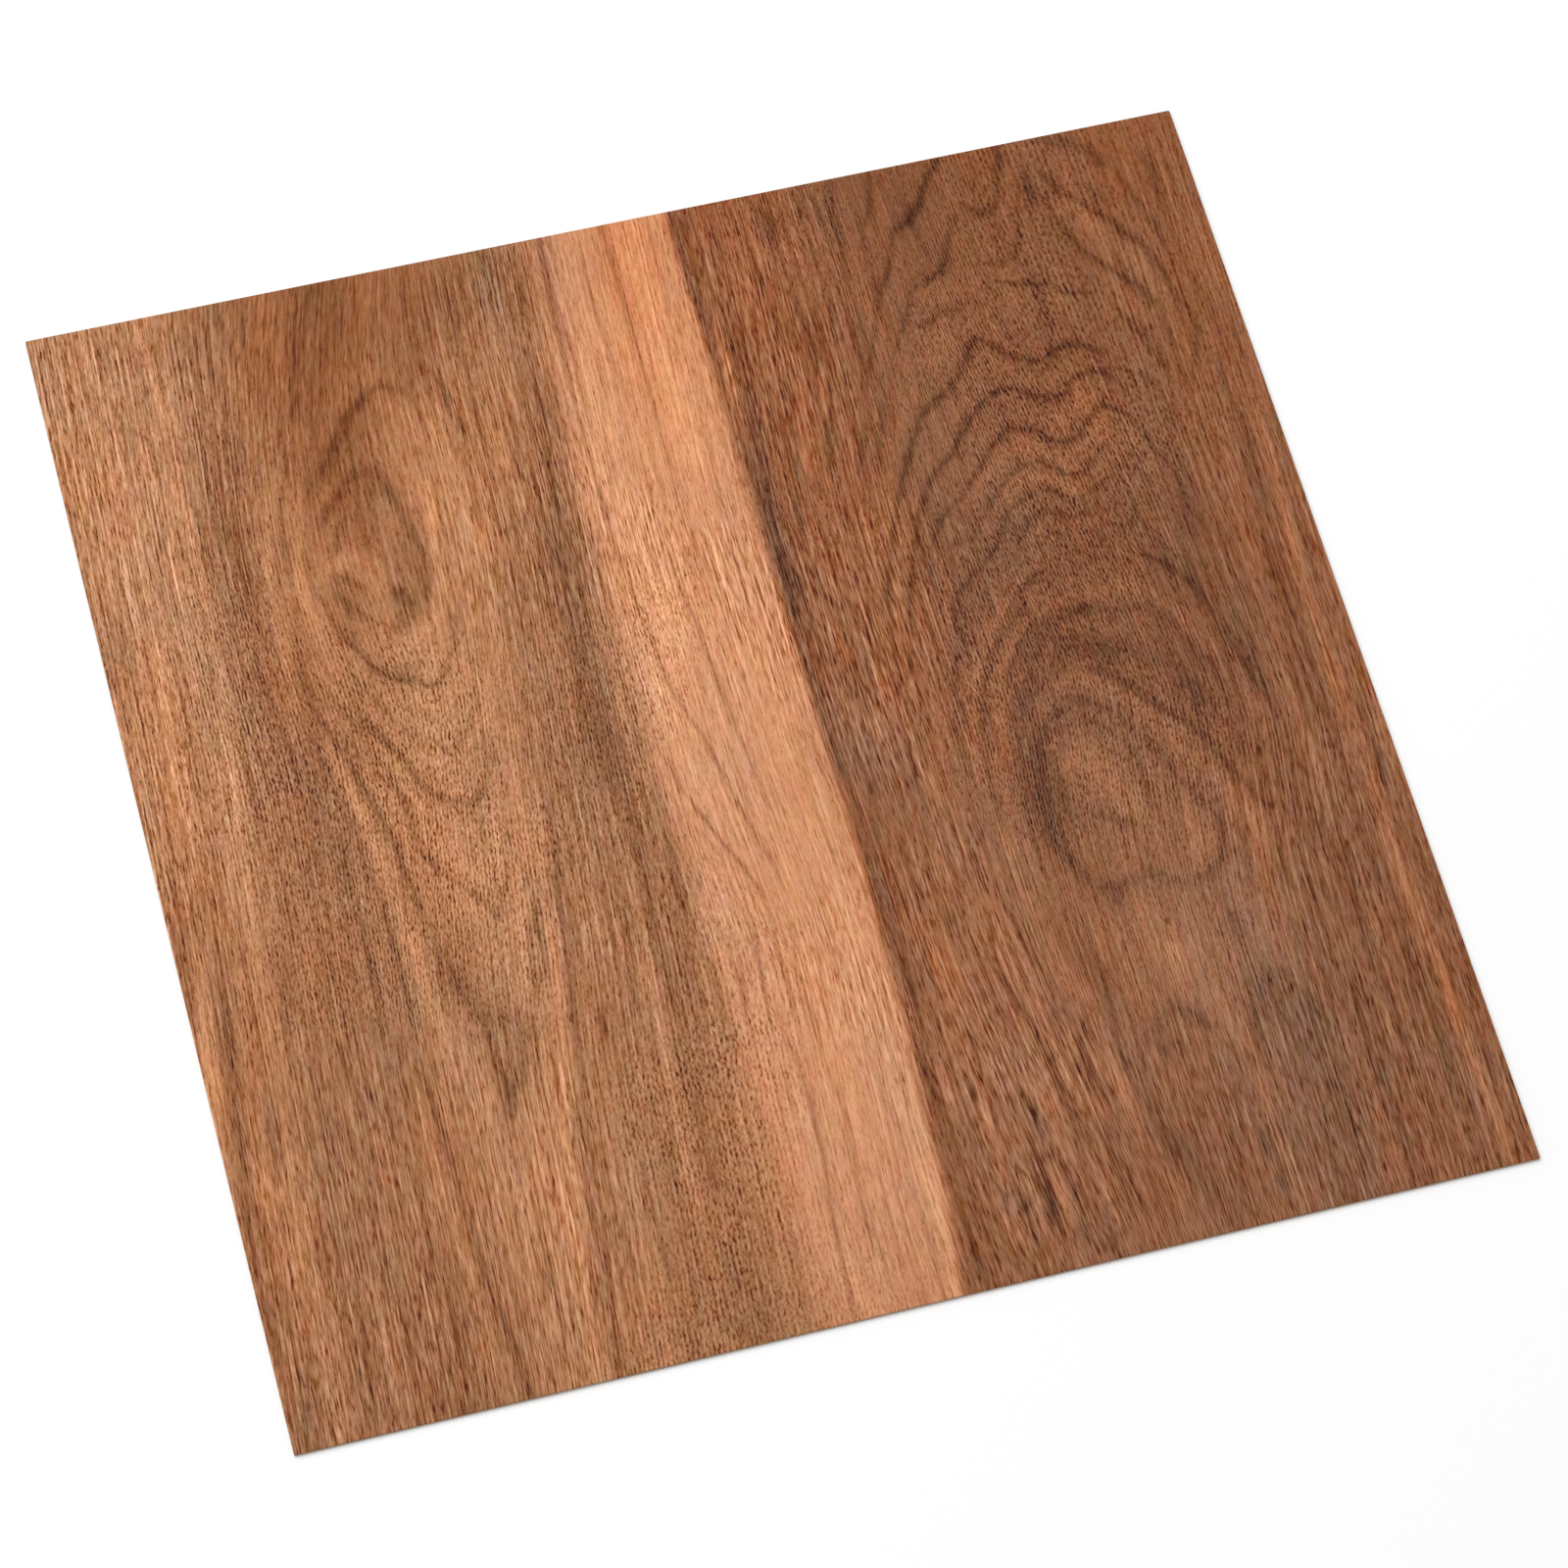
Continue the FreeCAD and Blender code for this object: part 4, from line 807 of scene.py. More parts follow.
    [(1172, 700, 6, -5), (1150, 724, 6, -7), (1134, 746, 6, -8), (1118, 768, 6, -8), (1104, 790, 6, -8),
     (1092, 812, 6, -4)],
    [(1322, 640, 6, -5), (1342, 652, 6, -8), (1362, 670, 6, -9), (1377, 692, 6, -10), (1388, 715, 6, -9),
     (1397, 750, 6, -7), (1404, 785, 6, -7), (1414, 825, 6, -7), (1422, 850, 7, -10), (1430, 885, 6, -4)],
    [(1080, 748, 6, 8), (1066, 788, 6, 9), (1053, 830, 5, 8), (1043, 868, 5, 8), (1036, 905, 5, 4)],
    [(1176, 690, 6, 5), (1150, 712, 6, 8), (1122, 744, 6, 9), (1104, 785, 6, 11), (1090, 822, 6, 12),
     (1080, 852, 6, 10), (1072, 892, 5, 9), (1066, 930, 5, 9), (1062, 970, 5, 8), (1056, 1012, 5, 6)],
    [(1080, 735, 6, 6), (1102, 708, 7, 9), (1128, 686, 7, 12), (1152, 660, 7, 11), (1178, 636, 7, 9),
     (1200, 612, 7, 2)],
    [(1236, 692, 8, 4), (1258, 690, 8, 4), (1282, 682, 8, 10), (1306, 686, 8, 11), (1330, 704, 8, 9),
     (1350, 732, 8, 9), (1366, 766, 8, 10), (1380, 800, 7, 5)],
    # the ring round the lower knot's core
    [(1262, 905, 6, -6), (1246, 880, 7, -10), (1232, 859, 8, -12), (1217, 843, 8, -14), (1200, 832, 8, -16),
     (1184, 829, 8, -16), (1163, 840, 9, -15), (1144, 856, 10, -14), (1124, 884, 12, -16),
     (1112, 915, 14, -22), (1108, 955, 14, -24), (1106, 995, 13, -22), (1112, 1030, 12, -18),
     (1126, 1062, 12, -18), (1150, 1086, 12, -15), (1172, 1092, 11, -16), (1192, 1087, 10, -16),
     (1208, 1083, 9, -17), (1228, 1094, 9, -14), (1246, 1106, 9, -13), (1262, 1114, 9, -6)],
    [(1140, 905, 5, -3), (1136, 930, 5, -7), (1134, 975, 5, -5)],
    [(1165, 862, 7, -4), (1190, 856, 7, -6), (1215, 872, 6, -5)],
    [(1225, 880, 5, -4), (1236, 910, 5, -6), (1240, 950, 5, -5), (1244, 990, 5, -4)],
    [(1262, 905, 5, -6), (1274, 932, 6, -9), (1285, 960, 6, -11), (1296, 986, 6, -9), (1312, 1012, 6, -9),
     (1318, 1035, 6, -5)],
    [(1165, 802, 11, 6), (1192, 796, 12, 11), (1220, 804, 10, 10), (1250, 834, 9, 9), (1276, 872, 10, 8),
     (1298, 915, 12, 8), (1324, 958, 12, 8), (1346, 1000, 12, 8), (1360, 1034, 11, 6)],
    [(1222, 790, 6, -4), (1246, 804, 6, -8), (1264, 826, 6, -9), (1284, 856, 6, -9), (1302, 874, 6, -9),
     (1318, 890, 7, -10), (1330, 908, 8, -12), (1341, 935, 8, -11), (1352, 962, 8, -13),
     (1362, 985, 7, -10), (1373, 1010, 7, -8), (1386, 1030, 7, -8), (1400, 1028, 7, -8),
     (1408, 1050, 6, -4)],
    # its core: two light fields and the lines between
    [(1152, 910, 12, 8), (1175, 895, 16, 10), (1190, 925, 22, 15), (1200, 960, 22, 13), (1218, 995, 15, 12),
     (1226, 1006, 9, 4)],
    [(1158, 912, 7, 5), (1166, 905, 7, 7)],
    [(1262, 1006, 12, 6), (1278, 1025, 17, 10), (1286, 1055, 17, 12), (1272, 1080, 14, 9),
     (1245, 1090, 9, 3)],
    [(1170, 985, 6, -3), (1184, 999, 7, -5), (1204, 1010, 7, -7), (1225, 1019, 6, -4)],
    [(1305, 1085, 6, -8), (1314, 1060, 6, -10), (1318, 1040, 5, -5)],
    [(1262, 1100, 6, -4), (1284, 1098, 6, -6), (1300, 1090, 6, -6)],
    [(1150, 1040, 20, 2), (1160, 1020, 14, 6), (1170, 1020, 12, 3)],
    # dark streaks and dots on the left of the board
    [(944, 1070, 7, -5), (945, 1085, 8, -13), (942, 1104, 7, -5)],
    [(990, 1165, 5, -4), (996, 1200, 5, -8), (1003, 1232, 5, -11), (1008, 1262, 5, -8), (1014, 1300, 5, -9),
     (1020, 1345, 5, -11), (1026, 1385, 5, -9), (1030, 1420, 5, -4)],
    [(1000, 1000, 6, -4), (998, 1030, 6, -8), (994, 1100, 6, -8), (990, 1150, 5, -6)],
    [(1018, 1050, 5, -4), (1024, 1110, 5, -6), (1040, 1180, 5, -5)],
    [(992, 1440, 7, -4), (990, 1490, 7, -8), (992, 1540, 7, -10), (992, 1590, 7, -8)],
    [(960, 1330, 6, -3), (962, 1400, 7, -7), (965, 1480, 6, -4)],
    [(1110, 1140, 7, -4), (1112, 1200, 8, -8), (1110, 1250, 7, -6), (1104, 1320, 6, -6)],
    [(1052, 1210, 6, -2), (1054, 1300, 6, -5), (1058, 1400, 7, -5), (1062, 1480, 9, -6),
     (1064, 1500, 9, -5)],
    [(905, 855, 7, -5), (906, 876, 8, -11), (904, 900, 7, -4)],
    [(885, 985, 12, -5), (900, 1030, 12, -5), (930, 1060, 10, -5)],
    [(948, 870, 6, -4), (950, 930, 7, -5)],
    [(1030, 840, 10, -4), (1040, 820, 10, -5), (1060, 790, 12, -4)],
    [(925, 440, 7, -5), (918, 475, 8, -9), (915, 510, 7, -4)],
    [(960, 740, 8, -4), (975, 770, 8, -7), (968, 790, 7, -3)],
    [(1010, 205, 6, -4), (1004, 240, 6, -8), (998, 285, 6, -4)],
    [(1058, 260, 7, -4), (1056, 288, 8, -9), (1046, 320, 7, -4)],
    [(958, 120, 8, -6), (962, 130, 8, -8), (955, 150, 7, -3)],
    [(985, 360, 7, -6), (978, 400, 7, -6), (972, 430, 6, -4)],
    [(940, 630, 14, -6), (955, 655, 12, -6)],
    [(1385, 1060, 6, -5), (1380, 1100, 6, -8), (1376, 1130, 6, -3)],
]

# Single straight streaks: the x and y of both ends, the brush's half-width, and the level at the
# middle
LEFT_STREAKS = [
    (252, -10, 250, 92, 7, -34), (279, 15, 275, 85, 6, -24), (84, 5, 99, 70, 6, -22),
    (131, 20, 136, 150, 6, -28), (70, 50, 68, 150, 6, -25), (15, 30, 15, 120, 6, -18),
    (160, 20, 160, 145, 5, -18), (177, 35, 181, 85, 7, -22), (218, 60, 226, 130, 6, -18),
    (102, 165, 89, 265, 7, -24), (135, 195, 128, 260, 6, -20), (65, 280, 63, 310, 6, -14),
    (125, 285, 95, 372, 8, -18), (53, 380, 53, 420, 5, -14), (92, 385, 90, 420, 5, -15),
    (126, 425, 126, 455, 6, -18), (61, 425, 60, 475, 5, -16), (33, 450, 35, 540, 6, -18),
    (94, 500, 89, 600, 6, -22), (177, 400, 180, 490, 8, -20), (216, 310, 209, 395, 6, -17),
    (201, 420, 201, 450, 5, -14), (236, 415, 236, 440, 6, -18), (246, 170, 226, 280, 6, -24),
    (282, 225, 268, 275, 5, -17), (322, 160, 306, 205, 7, -22), (411, 40, 398, 105, 7, -24),
    (441, 60, 431, 120, 6, -22), (451, 115, 454, 145, 7, -18), (409, 165, 402, 215, 7, -24),
    (360, 215, 347, 270, 10, -18), (332, 370, 318, 398, 8, -18), (490, 330, 485, 440, 5, -17),
    (514, 180, 515, 250, 6, -23), (537, 205, 537, 240, 5, -14), (549, 150, 557, 200, 6, -15),
    (537, 35, 541, 85, 8, -20), (562, 70, 560, 100, 6, -14), (612, 10, 617, 105, 6, -20),
    (597, 45, 594, 105, 5, -18), (614, 110, 607, 160, 5, -20), (657, 20, 655, 160, 7, -19),
    (630, 165, 636, 300, 8, -23), (600, 265, 600, 295, 5, -14), (616, 370, 611, 430, 8, -20),
    (621, 440, 624, 560, 6, -18), (544, 380, 545, 450, 6, -19), (546, 480, 548, 530, 7, -23),
    (524, 520, 518, 615, 6, -17), (608, 650, 606, 715, 7, -24), (606, 715, 604, 770, 6, -16),
    (175, 665, 173, 745, 8, -28), (172, 745, 169, 800, 8, -20), (40, 20, 39, 110, 6, 14),
    (56, 200, 56, 250, 7, 16), (25, 225, 25, 275, 14, 14), (210, 180, 208, 225, 7, 20),
    (194, 105, 190, 150, 7, 15), (168, 150, 160, 200, 6, 13), (243, 270, 232, 320, 7, 18),
    (143, 255, 150, 320, 7, 16), (152, 300, 147, 350, 7, 18), (149, 340, 147, 410, 7, 26),
    (146, 400, 143, 460, 6, 18), (14, 320, 18, 400, 8, 18), (270, 320, 262, 370, 8, 14),
    (18, 480, 18, 515, 6, 14), (80, 465, 77, 525, 6, 20), (296, 420, 290, 460, 6, 14),
    (457, 325, 454, 420, 8, 20), (454, 420, 438, 520, 9, 18), (405, 540, 436, 510, 9, 15),
    (476, 180, 475, 215, 5, 12), (490, 235, 487, 280, 6, 14), (508, 320, 512, 370, 6, 15),
    (512, 385, 512, 445, 8, 19), (566, 240, 562, 355, 9, 20), (592, 190, 587, 275, 6, 18),
    (262, 555, 290, 635, 7, 20), (220, 585, 223, 620, 7, 18), (597, 500, 596, 535, 6, 18),
    (478, 500, 475, 580, 7, 15), (438, 545, 430, 610, 10, 14), (402, 590, 402, 620, 9, 12),
    (460, 590, 455, 635, 7, 14), (44, 660, 46, 730, 7, 24), (487, 685, 484, 718, 9, 13),
    (444, 650, 441, 700, 7, 16), (250, 670, 258, 740, 5, 18), (262, 730, 272, 810, 6, 22),
    (273, 810, 282, 865, 6, 16), (322, 740, 350, 805, 7, 20), (315, 690, 328, 725, 7, 14),
    (345, 615, 362, 650, 8, 13), (385, 765, 405, 775, 7, 13), (236, 730, 234, 785, 6, 16),
    (112, 805, 111, 850, 8, 18), (196, 770, 195, 800, 7, 14), (15, 830, 14, 860, 8, 18),
    (73, 865, 70, 905, 7, 16), (74, 945, 72, 980, 8, 16), (97, 905, 95, 960, 6, 14),
    (432, 860, 426, 900, 8, 14), (446, 920, 430, 980, 8, 17), (430, 980, 418, 1050, 7, 17),
    (606, 905, 607, 960, 5, 14), (607, 960, 607, 1010, 5, 20), (610, 800, 609, 900, 5, 15),
    (566, 840, 564, 915, 7, -20), (560, 915, 555, 1030, 6, -18), (547, 660, 552, 800, 7, -18),
    (504, 790, 500, 850, 7, -16), (480, 930, 475, 1010, 7, -21), (474, 1010, 468, 1060, 7, -15),
    (508, 1025, 508, 1060, 8, -16), (266, 915, 269, 1070, 6, -17), (300, 965, 302, 1060, 6, -16),
    (146, 840, 141, 960, 8, -19), (12, 960, 10, 1010, 8, -24), (15, 920, 14, 955, 6, -15),
    (35, 940, 34, 965, 6, -13), (34, 735, 31, 820, 6, -18), (69, 675, 69, 715, 6, -20),
    (12, 655, 12, 710, 5, -18), (210, 655, 209, 710, 7, -16), (645, 740, 644, 765, 7, -14),
    (369, 835, 372, 880, 8, -14), (446, 690, 440, 735, 6, -14), (69, 1110, 67, 1190, 7, -28),
    (66, 1190, 62, 1225, 6, -18), (31, 1140, 29, 1180, 7, -22), (46, 1115, 46, 1180, 6, 17),
    (45, 1195, 38, 1260, 8, 25), (21, 1240, 16, 1290, 6, -18), (16, 1295, 12, 1350, 7, -26),
    (24, 1335, 22, 1370, 6, 18), (11, 1360, 10, 1395, 7, -18), (34, 1365, 33, 1390, 6, -18),
    (56, 1255, 47, 1310, 6, -19), (18, 1040, 11, 1125, 7, 19), (63, 1300, 60, 1355, 9, 20),
    (82, 1255, 80, 1310, 8, 18), (81, 1360, 80, 1390, 7, 13), (146, 1215, 147, 1255, 7, 19),
    (190, 1240, 192, 1275, 7, 17), (121, 1305, 119, 1345, 7, -24), (215, 1290, 217, 1360, 6, 17),
    (181, 1310, 180, 1345, 7, 16), (134, 1375, 136, 1410, 8, 20), (163, 1405, 156, 1450, 9, 22),
    (144, 1465, 141, 1530, 7, 19), (180, 1445, 180, 1470, 8, -19), (245, 1265, 246, 1310, 7, 17),
    (239, 1350, 240, 1385, 6, 15), (231, 1255, 229, 1300, 5, -17), (247, 1470, 246, 1525, 7, 22),
    (230, 1485, 230, 1510, 6, -17), (272, 1425, 273, 1460, 6, 15), (72, 1480, 69, 1530, 9, 19),
    (43, 1470, 42, 1520, 6, 16), (27, 1515, 26, 1545, 8, -24), (94, 1480, 92, 1510, 6, -22),
    (94, 1535, 92, 1570, 8, -27), (57, 1455, 57, 1480, 5, -16), (85, 1400, 83, 1450, 6, -15),
    (48, 1395, 49, 1430, 7, 15), (224, 1085, 223, 1145, 6, -23), (223, 1145, 221, 1185, 6, -20),
    (190, 1140, 182, 1160, 7, -19), (208, 1140, 208, 1175, 5, 15), (254, 1170, 251, 1215, 9, 16),
    (328, 1055, 326, 1095, 7, 16), (335, 1140, 337, 1215, 11, 18), (317, 1120, 316, 1185, 6, -18),
    (419, 1115, 417, 1165, 6, 22), (420, 1050, 418, 1120, 6, 14), (455, 1165, 451, 1225, 6, -19),
    (382, 1175, 380, 1205, 7, -16), (562, 1175, 576, 1160, 8, -19), (530, 1118, 542, 1112, 7, -15),
    (567, 1010, 556, 1105, 6, 15), (581, 1030, 577, 1065, 7, -17), (354, 1280, 352, 1340, 5, 18),
    (380, 1260, 377, 1330, 5, 20), (377, 1330, 378, 1375, 5, 19), (344, 1270, 343, 1310, 6, -17),
    (336, 1335, 336, 1365, 5, -15), (428, 1280, 425, 1315, 6, -17), (438, 1320, 442, 1355, 6, 15),
    (484, 1405, 497, 1450, 7, -22), (488, 1495, 487, 1525, 7, -18), (513, 1490, 513, 1530, 6, -19),
    (561, 1450, 561, 1490, 6, -16), (577, 1385, 573, 1435, 8, 14), (370, 1500, 370, 1550, 6, 17),
    (455, 1460, 457, 1500, 9, 14), (256, 55, 252, 80, 7, -12), (452, 75, 452, 106, 7, -17),
    (576, 145, 580, 222, 7, -15), (598, 85, 618, 100, 9, -14), (664, 20, 669, 80, 9, -11),
    (50, 85, 50, 160, 7, -13), (100, 138, 103, 185, 8, -16), (75, 142, 76, 165, 7, -11),
    (98, 205, 96, 240, 8, 16), (39, 215, 41, 250, 7, 14), (170, 262, 171, 296, 7, -15),
    (186, 308, 183, 380, 7, -14), (195, 525, 195, 605, 9, -14), (194, 600, 195, 672, 9, -13),
    (592, 640, 592, 690, 8, 16), (533, 405, 531, 440, 7, 13), (652, 262, 645, 350, 8, -15),
    (513, 258, 513, 282, 7, -15), (526, 215, 526, 250, 5, 13), (288, 60, 280, 135, 6, 15),
    (280, 135, 270, 245, 6, 11), (288, 185, 272, 270, 6, -12), (352, 180, 344, 230, 8, -14),
    (326, 165, 322, 200, 7, -13), (408, 160, 402, 222, 8, -14), (400, 232, 416, 278, 8, 10),
    (350, 250, 344, 290, 9, -10), (398, 286, 414, 306, 7, -13), (461, 250, 463, 318, 7, -14),
    (482, 350, 484, 402, 6, 13), (470, 392, 471, 415, 6, -13), (458, 500, 454, 542, 7, -15),
    (258, 440, 256, 472, 7, 13), (459, 582, 458, 612, 7, -18), (481, 655, 480, 682, 7, -12),
    (97, 800, 96, 860, 7, -18), (151, 698, 150, 732, 9, -16), (104, 760, 104, 788, 7, -13),
    (140, 790, 124, 895, 13, -9), (84, 652, 84, 682, 7, -14), (408, 788, 430, 774, 8, -12),
    (478, 768, 470, 840, 7, -13), (548, 795, 543, 890, 7, -18), (542, 890, 541, 1005, 7, -18),
    (539, 1035, 537, 1100, 7, -16), (505, 688, 496, 765, 6, 14), (492, 765, 488, 855, 6, 13),
    (511, 705, 510, 765, 5, -11), (589, 860, 588, 905, 7, -13), (579, 822, 578, 872, 6, 13),
    (641, 805, 639, 860, 8, -14), (635, 868, 631, 920, 8, -14), (198, 828, 198, 868, 7, 13),
    (236, 855, 224, 912, 7, 13), (158, 930, 160, 980, 10, 13), (364, 690, 383, 710, 7, 14),
    (2, 645, 3, 705, 6, 20), (2, 130, 4, 155, 5, 18), (1, 430, 2, 465, 5, 18), (271, 745, 272, 790, 8, 10),
    (284, 815, 285, 858, 8, 8), (317, 830, 318, 858, 8, 12), (350, 870, 354, 890, 7, 12),
    (500, 670, 499, 682, 7, 12), (200, 1138, 200, 1172, 8, -20), (69, 1012, 69, 1052, 7, 18),
    (91, 1020, 90, 1065, 7, 16), (434, 1052, 434, 1088, 6, 16), (228, 998, 228, 1046, 6, 15),
    (140, 1138, 139, 1182, 7, -17), (142, 1198, 141, 1235, 7, -19), (577, 1170, 574, 1230, 8, -16),
    (24, 1390, 31, 1440, 8, -17), (34, 1445, 29, 1525, 8, -16), (5, 1420, 6, 1505, 7, 14),
    (518, 1445, 514, 1490, 8, -17), (493, 1432, 486, 1480, 7, -14), (314, 1425, 316, 1475, 7, -15),
    (558, 1535, 560, 1568, 8, -18), (540, 1512, 539, 1545, 7, -16), (490, 1535, 490, 1568, 8, -17),
    (324, 1520, 322, 1558, 7, -15), (198, 1475, 196, 1508, 7, -16), (412, 1088, 410, 1128, 7, -15),
    (288, 1375, 286, 1408, 6, -14), (398, 945, 399, 980, 7, -15), (68, 1165, 68, 1190, 7, -14),
    (327, 1245, 327, 1272, 7, -16), (277, 1212, 277, 1242, 7, -15), (364, 1225, 364, 1252, 7, -15),
    (133, 1082, 133, 1108, 7, -14),
]
PALE_STREAKS = [
    (674, 350, 679, 460, 6, -18), (690, 85, 688, 185, 5, -17), (680, 125, 674, 180, 6, 14),
    (710, 260, 706, 345, 8, 17), (763, 360, 762, 440, 7, -17), (854, 20, 852, 80, 5, -14),
    (839, 85, 838, 125, 6, -17), (850, 115, 851, 150, 5, -12), (805, 640, 805, 715, 5, 16),
    (829, 460, 829, 490, 4, -13), (697, 480, 697, 560, 5, 13), (667, 500, 667, 560, 7, 12),
    (650, 475, 648, 540, 7, 13), (794, 40, 795, 100, 6, 13), (666, 815, 675, 880, 6, 16),
    (798, 785, 797, 815, 6, 7), (787, 835, 787, 870, 5, -12), (811, 910, 812, 945, 6, 14),
    (751, 1015, 751, 1080, 5, -17), (785, 1030, 785, 1110, 5, -15), (807, 1020, 806, 1075, 6, 15),
    (776, 1145, 775, 1175, 6, -18), (799, 1125, 800, 1155, 6, 18), (798, 1170, 799, 1230, 6, 13),
    (766, 1070, 764, 1140, 5, 12), (770, 1240, 771, 1300, 6, 13), (760, 1400, 753, 1460, 7, 16),
    (698, 1440, 697, 1480, 4, -13), (780, 350, 776, 475, 9, -12), (689, 145, 688, 195, 8, -14),
    (774, 5, 774, 95, 8, -13), (680, 385, 680, 455, 8, -12), (691, 446, 690, 478, 6, 14),
    (678, 680, 686, 720, 9, 12), (692, 725, 714, 775, 9, 12), (805, 640, 805, 705, 6, 13),
    (776, 542, 776, 575, 7, -11), (782, 618, 781, 650, 7, -11), (763, 652, 761, 675, 7, -10),
    (824, 670, 824, 700, 6, -11), (810, 132, 813, 168, 7, 12), (819, 220, 818, 262, 8, 11),
    (656, 940, 674, 998, 7, -14), (683, 1058, 684, 1105, 7, -12), (834, 1198, 832, 1232, 7, -12),
    (822, 1235, 818, 1310, 7, -11), (818, 1335, 818, 1385, 8, -12), (696, 1312, 695, 1350, 7, -11),
    (653, 1475, 652, 1505, 7, -13), (789, 1540, 789, 1562, 7, -12),
]
RIGHT_STREAKS = [
    (883, 45, 883, 90, 7, 16), (988, 20, 985, 90, 12, -18), (1033, 95, 1040, 120, 7, -17),
    (1041, 160, 1036, 245, 6, -18), (1060, 20, 1060, 80, 5, -14), (956, 280, 952, 315, 7, -19),
    (933, 395, 931, 435, 6, -19), (947, 395, 945, 425, 6, 14), (886, 205, 884, 285, 7, 18),
    (903, 240, 903, 275, 7, 16), (1092, 215, 1095, 255, 7, 14), (1066, 275, 1040, 330, 8, 17),
    (1331, 230, 1335, 255, 6, 12), (1283, 430, 1283, 445, 7, 12), (1094, 530, 1092, 540, 8, -14),
    (1165, 520, 1172, 518, 8, -12), (1476, 215, 1479, 250, 7, -17), (1066, 570, 1061, 640, 8, -15),
    (882, 640, 882, 720, 7, 9), (921, 655, 923, 725, 8, 24), (953, 725, 957, 765, 7, 24),
    (888, 985, 886, 1020, 7, 14), (911, 800, 916, 850, 8, -23), (936, 875, 937, 905, 6, 17),
    (947, 905, 946, 945, 6, 18), (913, 940, 913, 970, 6, 14), (1000, 950, 1008, 995, 9, -18),
    (1029, 965, 1029, 1025, 8, -18), (986, 915, 978, 970, 9, -12), (930, 1020, 930, 1040, 7, -18),
    (994, 1065, 997, 1100, 6, 16), (944, 1110, 944, 1135, 6, -18), (911, 1120, 913, 1190, 6, 20),
    (930, 1110, 932, 1175, 5, 15), (884, 1180, 884, 1215, 7, 12), (954, 1165, 953, 1215, 6, -17),
    (1011, 1150, 1016, 1200, 10, -15), (1150, 900, 1150, 960, 14, 10), (1205, 705, 1260, 700, 10, -12),
    (1180, 765, 1165, 790, 10, -13), (1215, 790, 1235, 800, 10, -13), (1140, 805, 1128, 820, 8, -12),
    (1080, 710, 1074, 740, 7, -12), (1472, 710, 1472, 750, 9, -18), (1518, 840, 1516, 905, 5, 15),
    (1549, 980, 1546, 1030, 6, -20), (1150, 1095, 1165, 1130, 12, -16), (1198, 1150, 1205, 1175, 9, -15),
    (1126, 1120, 1122, 1190, 12, 13), (1492, 1135, 1492, 1160, 6, -15), (880, 1285, 880, 1335, 7, 10),
    (910, 1290, 911, 1335, 6, -24), (936, 1270, 934, 1310, 6, 17), (917, 1335, 917, 1370, 8, 16),
    (977, 1345, 980, 1385, 6, -22), (990, 1335, 994, 1365, 5, 17), (1049, 1260, 1051, 1295, 6, 16),
    (1072, 1285, 1077, 1340, 6, 23), (1057, 1360, 1057, 1390, 8, 22), (1107, 1315, 1106, 1340, 7, -18),
    (1162, 1300, 1154, 1335, 8, -16), (1297, 1250, 1295, 1285, 7, -14), (1297, 1380, 1296, 1410, 7, -16),
    (1412, 1400, 1412, 1430, 7, -16), (1552, 1415, 1552, 1455, 8, -19), (1508, 1460, 1507, 1510, 6, -16),
    (1441, 1340, 1441, 1380, 6, 15), (1394, 1500, 1394, 1560, 8, 15), (1466, 1190, 1466, 1255, 5, 14),
    (1476, 1270, 1479, 1300, 6, 15), (1527, 1305, 1526, 1375, 7, 17), (983, 1440, 981, 1510, 8, 22),
    (964, 1460, 962, 1515, 7, -24), (930, 1460, 931, 1485, 8, -22), (898, 1540, 905, 1555, 9, -18),
    (1018, 1545, 1022, 1560, 7, -15), (1037, 1455, 1036, 1510, 7, 16), (1238, 1510, 1250, 1540, 12, -14),
    (1027, 648, 1024, 705, 7, 14), (1072, 200, 1064, 268, 7, -15), (889, 425, 889, 500, 8, -8),
    (889, 530, 886, 605, 8, -9), (917, 450, 914, 525, 7, -13), (916, 560, 918, 618, 7, -13),
    (881, 100, 882, 155, 6, 12), (880, 252, 880, 298, 6, 12), (1000, 500, 1000, 545, 7, 14),
    (931, 475, 931, 535, 6, 14), (1003, 288, 989, 362, 6, 15), (1042, 15, 1042, 48, 7, -14),
    (1345, 42, 1344, 98, 9, -19), (1379, 100, 1380, 128, 7, 13), (1405, 222, 1406, 252, 8, 12),
    (1433, 262, 1433, 298, 7, 13), (1425, 88, 1446, 122, 8, -15), (1518, 382, 1512, 435, 8, -14),
    (1557, 482, 1553, 515, 7, -13), (1557, 535, 1556, 585, 7, -18), (1360, 570, 1375, 640, 8, 10),
    (1375, 640, 1366, 735, 8, 12), (1364, 735, 1346, 770, 8, 11), (1275, 788, 1288, 808, 9, 11),
    (1260, 818, 1274, 838, 8, -12), (1286, 846, 1302, 872, 8, -12), (1315, 748, 1315, 772, 8, -10),
    (1322, 640, 1323, 662, 8, 9), (1106, 800, 1142, 770, 7, 12), (1154, 862, 1134, 890, 8, 9),
    (877, 1012, 876, 1055, 9, -16), (872, 1462, 871, 1520, 9, -12), (911, 1442, 911, 1484, 7, -18),
    (898, 1098, 901, 1185, 7, -15), (891, 932, 891, 962, 7, -13), (871, 868, 871, 902, 7, 15),
    (1053, 1028, 1053, 1064, 7, -15), (964, 1052, 964, 1080, 7, -14), (1085, 1335, 1088, 1385, 9, 13),
    (1099, 1342, 1100, 1365, 7, 8), (1386, 1452, 1387, 1492, 9, 14), (1484, 1495, 1484, 1525, 7, 13),
    (1489, 1340, 1489, 1370, 7, 12), (1526, 1010, 1526, 1045, 8, 12), (1270, 1435, 1282, 1485, 14, -12),
    (1240, 1448, 1240, 1490, 9, -13), (888, 700, 887, 730, 7, 8),
]


